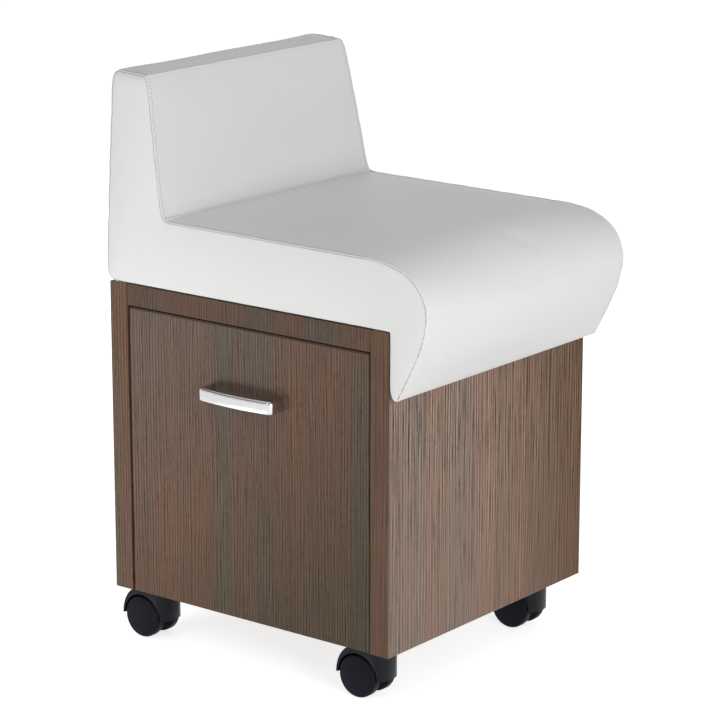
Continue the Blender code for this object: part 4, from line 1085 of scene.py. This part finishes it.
def bowed_side(reach, inside, radius):
    """One side of the bar in plan, (along, out), from foot to foot."""
    corner = (-reach, bow_at(reach, inside))
    beyond = (-reach + CORNER_RUN, bow_at(reach - CORNER_RUN, inside))
    left = [(-reach, 0.0)] + rounded_corner((-reach, 0.0), corner, beyond, radius)
    middle = [(y, bow_at(y, inside)) for y in np.linspace(-reach + CORNER_CLEAR, reach - CORNER_CLEAR, 25)]
    return left + middle + [(-y, out) for y, out in reversed(left)]


pull_plan = bowed_side(pull_reach, 0.0, OUTER_CORNER)
pull_plan += bowed_side(pull_reach - PULL_STRAP, PULL_STRAP, INNER_CORNER)[::-1]
print("handle outline:", len(pull_plan), "points")

# %% Stack its levels
TOP_RIM, UNDER_RIM, RIM_STEPS = 0.0042, 0.0014, 6


def bridge(shape, rings):
    """Faces between rings of a bmesh's points; a ring of one point closes the body."""
    for lower, upper in zip(rings, rings[1:]):
        for k in range(max(len(lower), len(upper))):
            m = k + 1
            corners = [lower[k % len(lower)], lower[m % len(lower)], upper[m % len(upper)], upper[k % len(upper)]]
            shape.faces.new(list(dict.fromkeys(corners)))


def stacked(outlines):
    """A closed bmesh through outlines of (x, y, z) points, from the lowest to the highest."""
    shape = bmesh.new()
    levels = [[shape.verts.new(point) for point in outline] for outline in outlines]
    shape.faces.new(levels[0][::-1])
    shape.faces.new(levels[-1])
    bridge(shape, levels)
    return shape


plan = np.array(pull_plan)
run = np.roll(plan, -1, axis=0) - np.roll(plan, 1, axis=0)
inward = unit(np.column_stack([run[:, 1], -run[:, 0]]))
feet = plan[:, 1] == 0
leg_middle = np.sign(plan[feet, 0]) * (pull_reach - PULL_STRAP / 2)
inward[feet] = np.column_stack([np.sign(leg_middle - plan[feet, 0]), np.zeros(feet.sum())])
rim = [(1 - math.sin(a), 1 - math.cos(a)) for a in np.radians(np.linspace(0, 90, RIM_STEPS + 1))]
levels = [(pull * UNDER_RIM, pull_low.z + lift * UNDER_RIM) for pull, lift in rim]
levels += [(pull * TOP_RIM, pull_high.z - lift * TOP_RIM) for pull, lift in reversed(rim)]
pull_shape = stacked([
    [(pull_high.x - out, pull_middle + y, level) for y, out in plan + inward * pull] for pull, level in levels
])
print("handle levels:", len(levels))

# %% Chrome the handle
def shaped_piece(name, shape, finish, angle=35):
    """A piece from a bmesh, smooth except where faces meet at more than an angle."""
    bmesh.ops.recalc_face_normals(shape, faces=shape.faces)
    mesh = bpy.data.meshes.new(name)
    shape.to_mesh(mesh)
    shape.free()
    mesh.shade_smooth()
    mesh.set_sharp_from_angle(angle=math.radians(angle))
    mesh.materials.append(finish)
    return linked(name, mesh)


chrome, tree, put = new_finish("chrome", Metallic=1.0)
smears = own_noise(tree, 60, 4.0, 0.6)
put(Base_Color=drift(tree, smears, (0.57, 0.575, 0.58), (0.63, 0.63, 0.63)),
    Roughness=drift(tree, smears, 0.05, 0.12), Normal=bump(tree, own_noise(tree, 45, 1.0), 0.0003, 0.15))
pull = shaped_piece("drawer_pull", pull_shape, chrome)
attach(pull, "drawer")
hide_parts("drawer_handle")
print("handle:", len(pull.data.vertices), "points")

# %% [markdown]
# ## Edging on the drawer front
# The drawer front wears a strip of edging on its upper edge, which shows as a dark brown line under the gap; its
# dark tone is painted shade, as the strip stands in the gap under the rail. A wider bevel on the board would only
# round it. The strip is a flat bar that is glued on and trimmed, so a rectangle is stacked in levels that shrink at
# the top, and it starts below the board's rounded edge.

# %% Lay the edging
STRIP_RISE, STRIP_LAP, STRIP_TRIM, TRIM_SHARE = 0.0023, 0.0017, 0.0007, 0.3
FACE_BACK, END_BACK = 0.0001, 0.0008
board_low, board_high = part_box("drawer_front")
strip_top = board_high.z + STRIP_RISE
levels = [(0.0, board_high.z - STRIP_LAP), (0.0, strip_top - STRIP_TRIM)]
levels += [(STRIP_TRIM * TRIM_SHARE, strip_top - STRIP_TRIM * TRIM_SHARE), (STRIP_TRIM, strip_top)]
outlines = []
for pull_in, level in levels:
    left, right = board_low.x + FACE_BACK + pull_in, board_high.x - FACE_BACK - pull_in
    near, far = board_low.y + END_BACK + pull_in, board_high.y - END_BACK - pull_in
    outlines.append([(left, near, level), (right, near, level), (right, far, level), (left, far, level)])
edging_strip = shaped_piece("drawer_front_edging", stacked(outlines), edging_painted_shade_laminate)
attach(edging_strip, "drawer")
print(f"edging strip: {1000 * STRIP_RISE:.1f} mm above the drawer front")

# %% [markdown]
# ## Metal and nylon
# The slides and screws are zinc plated, a pale metal with faint crystals, each turned a little in tone. The casters
# are moulded nylon: near black with a fine sparked texture on the hoods, and a charcoal blue on the wheels, whose
# sheen is softer.

# %% Make the metal and nylon finishes
zinc, tree, put = new_finish("zinc_steel", Metallic=1.0)
crystals, stain = cells(tree, 420), own_noise(tree, 35, 3.0)
tone = ramp(tree, crystals["Color"], [(0.2, (0.54, 0.55, 0.56)), (0.8, (0.66, 0.66, 0.65))])
warm = ramp(tree, stain, [(0.35, (0.92, 0.94, 1.0)), (0.65, (1.0, 0.98, 0.93))])
put(Base_Color=times(tree, tone, warm), Roughness=drift(tree, stain, 0.28, 0.42),
    Normal=bump(tree, crystals["Distance"], 0.00003, 0.3))


def nylon_finish(name, dark, pale, smooth, rough, shine):
    """Moulded nylon with a sparked texture, a slow drift of tone and grey scuffs."""
    material, tree, put = new_finish(name, Specular_IOR_Level=shine)
    spark = own_noise(tree, 2200, 3.0, 0.6)
    tone = drift(tree, own_noise(tree, 55, 3.0), dark, pale)
    scuffed = ramp(tree, own_noise(tree, 240, 4.0, 0.65), [(0.62, 0.0), (0.80, 0.10)])
    put(Base_Color=mixed(tree, scuffed, tone, (0.09, 0.09, 0.095)), Roughness=drift(tree, spark, smooth, rough),
        Normal=bump(tree, spark, 0.00005, 0.4))
    return material


hood_nylon = nylon_finish("black_nylon", (0.0036, 0.0042, 0.0072), (0.0056, 0.0065, 0.0108),
                          smooth=0.26, rough=0.38, shine=0.18)
wheel_nylon = nylon_finish("wheel_nylon", (0.0041, 0.0052, 0.0096), (0.0057, 0.0070, 0.0124),
                           smooth=0.42, rough=0.55, shine=0.10)
print("finishes:", zinc.name, hood_nylon.name, wheel_nylon.name)

# %% [markdown]
# ## Screws
# Screws hold the seat from inside the cabinet, the drawer front and the handle. Each is a turned pan head on a
# shank, with a cross cut into the head by two tapered blades. Turning means spinning a half outline about an axis,
# which is how a lathe makes the real one.

# %% Turn a screw
HEAD_PROFILE = [(0, 2.60), (1.4, 2.56), (2.6, 2.32), (3.5, 1.80), (4.0, 1.05), (4.2, 0.35), (4.1, 0.0)]
BLADE = [(-0.0023, 0.0027), (-0.0012, 0.0009), (0.0012, 0.0009), (0.0023, 0.0027)]
HEAD_HIGH, SHANK, POINT, BLADE_HALF, SCREW_STEPS = 0.0026, 0.0018, 0.0004, 0.00045, 28


def turned(shape, profile, steps):
    """Add a body spun about Z from (radius, height) pairs to a bmesh; a zero radius closes it."""
    rings = []
    for radius, level in profile:
        turns = [0.0] if radius == 0 else [2 * math.pi * k / steps for k in range(steps)]
        rings.append([shape.verts.new((radius * math.cos(a), radius * math.sin(a), level)) for a in turns])
    bridge(shape, rings)
    return shape


def combine(piece, operation, *others):
    """Cut other pieces from a piece, or keep what it shares with them, and remove them."""
    for other in others:
        step = piece.modifiers.new("combine", "BOOLEAN")
        step.operation, step.solver, step.object = operation, "EXACT", other
    baked(piece)
    for other in others:
        bpy.data.objects.remove(other)


def screw_piece(name, length):
    """A cross-head screw along Z: head above zero, shank below."""
    profile = [(r / 1000, z / 1000) for r, z in HEAD_PROFILE]
    profile += [(SHANK, 0.0), (SHANK, SHANK - length), (POINT, -length), (0, -length)]
    piece = shaped_piece(name, turned(bmesh.new(), profile[::-1], SCREW_STEPS), zinc)
    blades = []
    for turn in (0, 90):
        blade = stacked([[(x, side, z) for x, z in BLADE] for side in (-BLADE_HALF, BLADE_HALF)])
        blade.transform(Matrix.Rotation(math.radians(turn), 4, "Z"))
        blades.append(shaped_piece("blade", blade, zinc))
    combine(piece, "DIFFERENCE", *blades)
    return piece


print("screw head:", 1000 * HEAD_HIGH, "mm high")

# %% Put the screws in
STANDING = 0.02


def place_screw(name, body):
    """Stand a screw where its solid is; a seat screw's head looks down, the others' look into the drawer."""
    low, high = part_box(name)
    if high.z - low.z > STANDING:
        length, turn = high.z - low.z, Matrix.Rotation(math.pi, 4, "X")
        place = Vector((*((low + high) / 2).xy, low.z + HEAD_HIGH))
    else:
        length, turn = high.x - low.x, Matrix.Rotation(math.pi / 2, 4, "Y")
        place = Vector((high.x - HEAD_HIGH, (low.y + high.y) / 2, (low.z + high.z) / 2))
    piece = screw_piece(name + "_cross_head", length - HEAD_HIGH)
    piece.data.transform(Matrix.Translation(place) @ turn)
    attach(piece, body)
    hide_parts(name)
    return piece


drawer_screws = [f"drawer_front_screw_{i}" for i in (1, 2, 3, 4)] + ["handle_screw_1", "handle_screw_2"]
screws = [place_screw(f"seat_screw_{i}", "cabinet") for i in (1, 2, 3, 4)]
screws += [place_screw(name, "drawer") for name in drawer_screws]
print("screws:", len(screws), "with", len(screws[0].data.vertices), "points each")

# %% [markdown]
# ## Casters
# Each caster has two nylon wheels under one hood. A wheel is turned: a slightly domed outer face with a shallow
# ring near a rolled rim, then the tread. Its hood has a rounded stem housing in front, a wall between the wheels
# and a fender over them. It starts as a side outline raised across the caster, is trimmed to its plan, and loses
# two pockets for the wheels. A small bevel afterwards gives the moulded edges something to catch the light with.

# %% Turn the wheels
WHEEL_PROFILE = [
    (0, 14.50), (5, 14.44), (10, 14.22), (15, 13.82), (19.2, 13.30), (20.0, 13.12), (20.5, 12.86), (21.0, 12.86),
    (21.5, 13.06), (22.2, 12.96), (23.2, 12.52), (24.1, 11.75), (24.7, 10.80), (25.0, 9.60), (25.0, 2.60),
    (24.7, 1.40), (24.0, 0.60), (23.0, 0.25), (9.0, 0.25), (8.2, 0.0), (3.3, 0.0), (3.3, 10.0), (0, 10.0),
]
WHEEL_STEPS, WHEEL_SHARP = 72, 50
CORNERS = ("front_right", "front_left", "rear_right", "rear_left")


def wheel_piece(corner, hand):
    """One wheel of a caster, turned about the axle, its domed face outwards."""
    name = f"caster_{corner}_{hand}_wheel"
    low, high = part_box(name)
    shape = turned(bmesh.new(), [(r / 1000, z / 1000) for r, z in WHEEL_PROFILE], WHEEL_STEPS)
    piece = shaped_piece(name + "_moulded", shape, wheel_nylon, WHEEL_SHARP)
    inner_x, outwards = (low.x, 1) if hand == "left" else (high.x, -1)
    place = Vector((inner_x, (low.y + high.y) / 2, (low.z + high.z) / 2))
    piece.data.transform(Matrix.Translation(place) @ Matrix.Rotation(outwards * math.pi / 2, 4, "Y"))
    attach(piece, name)
    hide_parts(name)
    return piece


wheels = [wheel_piece(corner, hand) for corner in CORNERS for hand in ("left", "right")]
print("wheels:", len(wheels), "with", len(wheels[0].data.vertices), "points each")

# %% Measure a caster
hood_low, hood_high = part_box("caster_front_right_hood")
plate_low, plate_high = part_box("caster_front_right_plate")
wheel_low, wheel_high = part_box("caster_front_right_right_wheel")
king_pin = (plate_low + plate_high) / 2
HOOD_HALF = (hood_high.x - hood_low.x) / 2
HOUSING_FRONT = king_pin.y - hood_low.y
WHEEL_RADIUS = (wheel_high.z - wheel_low.z) / 2
TRAIL = (wheel_low.y + wheel_high.y) / 2 - king_pin.y
FENDER_REACH = hood_high.y - king_pin.y - TRAIL
print(f"wheel radius {1000 * WHEEL_RADIUS:.1f} mm, axle {1000 * TRAIL:.1f} mm behind the king pin")

# %% Shape one hood
WEB_HALF, POCKET_GAP, AXLE_BOSS = 0.007, 0.0018, 0.007
HOUSING_FLOOR, HOUSING_NOSE, HOOD_CORNER, HOOD_EDGE = 0.0235, 0.012, 0.005, 0.0006
PIN_HOLE, PIN_HOLE_FLOOR, AXLE_HOLE, AXLE_HALF = 0.0043, 0.038, 0.0033, 0.014
BELOW, PAST, OVER = -0.02, 0.002, 0.1
UPRIGHT = Matrix(((0, 0, 1, 0), (1, 0, 0, 0), (0, 1, 0, 0), (0, 0, 0, 1)))


def prism(outline, low, high):
    """A closed bmesh raised from a flat outline."""
    return stacked([[(x, y, level) for x, y in outline] for level in (low, high)])


def arc(middle, across, tall, start, end, steps):
    """Points of an ellipse's arc between two angles in degrees."""
    angles = np.radians(np.linspace(start, end, steps + 1))
    return [(middle[0] + across * math.cos(a), middle[1] + tall * math.sin(a)) for a in angles]


def hood_shape():
    """The hood about its king pin, wheels trailing along +Y."""
    axle, room = (TRAIL, WHEEL_RADIUS), WHEEL_RADIUS + POCKET_GAP
    corner = (-HOUSING_FRONT + HOOD_CORNER, hood_high.z - HOOD_CORNER)
    side = [(-HOUSING_FRONT, HOUSING_FLOOR)] + arc(corner, HOOD_CORNER, HOOD_CORNER, 180, 90, 8)
    side += arc(axle, FENDER_REACH, hood_high.z - WHEEL_RADIUS, 90, 0, 28)
    side += arc(axle, AXLE_BOSS, AXLE_BOSS, 0, -110, 12)
    shape = prism(side, -HOOD_HALF, HOOD_HALF)
    shape.transform(UPRIGHT)
    hood = shaped_piece("caster_hood_moulded", shape, hood_nylon)
    rear = TRAIL + FENDER_REACH + PAST
    plan = arc((0, -HOUSING_FRONT + HOUSING_NOSE), HOOD_HALF, HOUSING_NOSE, 180, 360, 40)
    plan += [(HOOD_HALF, rear), (-HOOD_HALF, rear)]
    combine(hood, "INTERSECT", shaped_piece("plan", prism(plan, BELOW, OVER), hood_nylon))
    cutters = []
    for inner_x in (-HOOD_HALF - WEB_HALF, WEB_HALF):
        pocket = prism(arc(axle, room, room, 0, 357, 119), 0, HOOD_HALF)
        pocket.transform(Matrix.Translation((inner_x, 0, 0)) @ UPRIGHT)
        cutters.append(shaped_piece("pocket", pocket, hood_nylon))
    socket = prism(arc((0, 0), PIN_HOLE, PIN_HOLE, 0, 350, 35), PIN_HOLE_FLOOR, OVER)
    cutters.append(shaped_piece("socket", socket, hood_nylon))
    bore = prism(arc(axle, AXLE_HOLE, AXLE_HOLE, 0, 350, 35), -AXLE_HALF, AXLE_HALF)
    bore.transform(UPRIGHT)
    cutters.append(shaped_piece("bore", bore, hood_nylon))
    combine(hood, "DIFFERENCE", *cutters)
    ease_edges(hood, HOOD_EDGE, segments=3, angle=32, join=0.00004)
    mesh = baked(hood)
    mesh.shade_smooth()
    mesh.set_sharp_from_angle(angle=math.radians(40))
    return hood


first_hood = hood_shape()
print("hood:", len(first_hood.data.vertices), "points", [round(1000 * v, 2) for v in first_hood.dimensions])

# %% Put a hood on each caster
PLATE_EDGE = 0.0004


def place_hood(hood, corner):
    """A copy of the hood at one corner's king pin."""
    low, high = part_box(f"caster_{corner}_plate")
    pin = (low + high) / 2
    piece = linked(f"caster_{corner}_hood_moulded", hood.data.copy())
    piece.data.transform(Matrix.Translation((pin.x, pin.y, 0)))
    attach(piece, f"caster_{corner}_swivel")
    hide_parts(f"caster_{corner}_hood")
    return piece


hoods = [place_hood(first_hood, corner) for corner in CORNERS]
bpy.data.objects.remove(first_hood)
for corner in CORNERS:
    dress(f"caster_{corner}_plate", zinc, PLATE_EDGE)
    dress(f"caster_{corner}_axle", zinc)
print("hoods:", [piece.name for piece in hoods])

# %% [markdown]
# ## Drawer box and slides
# Behind its wood front the drawer is a pale melamine box on two ball-bearing slides. The solids are right, so they
# keep their meshes and get eased edges. The caged balls are made again, with more and rounder balls, and screws are
# added inside the drawer's rails, where a fitter would drive them.

# %% Dress the drawer box and the rails
BOX_EDGE, RAIL_EDGE = 0.0005, 0.00035
melamine, tree, put = new_finish("drawer_melamine", Specular_IOR_Level=0.4)
pebble = own_noise(tree, 1400, 3.0, 0.6)
put(Base_Color=drift(tree, own_noise(tree, 9, 4.0), (0.64, 0.63, 0.60), (0.70, 0.69, 0.665)),
    Roughness=drift(tree, pebble, 0.40, 0.52), Normal=bump(tree, pebble, 0.00005, 0.5))
for name in ("sub_front", "back", "side_front", "side_rear", "base"):
    dress("drawer_" + name, melamine, BOX_EDGE)
for place in ("front", "rear"):
    for rail in ("cabinet_rail", "middle_rail", "drawer_rail"):
        dress(f"{place}_slide_{rail}", zinc, RAIL_EDGE)
print("drawer box and six rails dressed")

# %% Make the caged balls
BALL, CAGE_SHEET, BALLS, CAGE_END = 0.0017, 0.0007, 9, 0.006


def ball_cage(name):
    """A folded cage with a row of balls along each edge, in place of its plainer solid."""
    low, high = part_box(name)
    middle_z = (low.z + high.z) / 2
    row = (high.z - low.z) / 2 - BALL
    web, tip = (low.y, high.y) if name.startswith("front") else (high.y, low.y)
    way = math.copysign(1, tip - web)
    edge, fold_in = tip - way * BALL / 2, web + way * CAGE_SHEET
    outer, inner = row + CAGE_SHEET / 2, row - CAGE_SHEET / 2
    fold = [(web, -outer), (edge, -outer), (edge, -inner), (fold_in, -inner),
            (fold_in, inner), (edge, inner), (edge, outer), (web, outer)]
    shape = prism([(y, middle_z + z) for y, z in fold], low.x, high.x)
    shape.transform(UPRIGHT)
    for i in range(BALLS):
        x = low.x + CAGE_END + i * (high.x - low.x - 2 * CAGE_END) / (BALLS - 1)
        for z in (-row, row):
            place = Matrix.Translation((x, tip - way * BALL, middle_z + z))
            bmesh.ops.create_icosphere(shape, subdivisions=2, radius=BALL, matrix=place)
    piece = shaped_piece(name + "_caged", shape, zinc)
    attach(piece, name)
    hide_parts(name)
    return piece


cages = [ball_cage(f"{place}_slide_{row}_balls") for place in ("front", "rear") for row in ("outer", "inner")]
print("cages:", len(cages), "with", BALLS * 2, "balls each")

# %% Screw the drawer rails on
RAIL_SHEET, HEAD_STEPS, HEAD_SHARES = 0.0012, 24, (0.12, 0.5, 0.88)
FLAT_HEAD = [
    (0, 0.0005), (0.0009, 0.0005), (0.0012, 0.0011), (0.0026, 0.0010), (0.0034, 0.0005), (0.0036, 0.0), (0, 0.0),
]


def rail_screws(name):
    """Three flat screw heads inside a drawer rail."""
    low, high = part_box(name)
    web, way = (high.y - RAIL_SHEET, 1) if name.startswith("front") else (low.y + RAIL_SHEET, -1)
    heads = bmesh.new()
    for share in HEAD_SHARES:
        before = len(heads.verts)
        turned(heads, FLAT_HEAD, HEAD_STEPS)
        place = Vector((low.x + share * (high.x - low.x), web, (low.z + high.z) / 2))
        turn = Matrix.Translation(place) @ Matrix.Rotation(math.pi / 2 * way, 4, "X")
        bmesh.ops.transform(heads, matrix=turn, verts=list(heads.verts)[before:])
    piece = shaped_piece(name + "_screws", heads, zinc)
    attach(piece, "drawer")
    return piece


rail_heads = [rail_screws(f"{place}_slide_drawer_rail") for place in ("front", "rear")]
print("rail screws:", [piece.name for piece in rail_heads])

# %% [markdown]
# ## Boards inside the seat
# The seat is built on plywood: a base, a back board with two gussets, and a nose board behind the flap. They are
# hidden by the cover, but a part that is opened or cut should still be right, so they get a birch ply with thin
# dark glue lines.

# %% Dress the plywood
PLY_EDGE = 0.0006
plywood, tree, put = new_finish("plywood", Specular_IOR_Level=0.3)
veneer = own_noise(tree, (6, 160, 160), 4.0, 0.6)
inputs = {"Vector": scaled_place(tree, (1, 1, 210)), "Scale": 1.0, "Distortion": 0.6}
plies = node(tree, "ShaderNodeTexWave", inputs, bands_direction="Z").outputs["Fac"]
birch = drift(tree, veneer, (0.50, 0.36, 0.21), (0.63, 0.48, 0.31))
put(Base_Color=times(tree, birch, ramp(tree, plies, [(0.05, 0.72), (0.25, 1.0)])),
    Roughness=drift(tree, veneer, 0.72, 0.60), Normal=bump(tree, veneer, 0.0001, 0.4))
for name in ("seat_base_board", "backrest_board", "nose_board", "backrest_gusset_left", "backrest_gusset_right"):
    dress(name, plywood, PLY_EDGE)
print("plywood dressed")
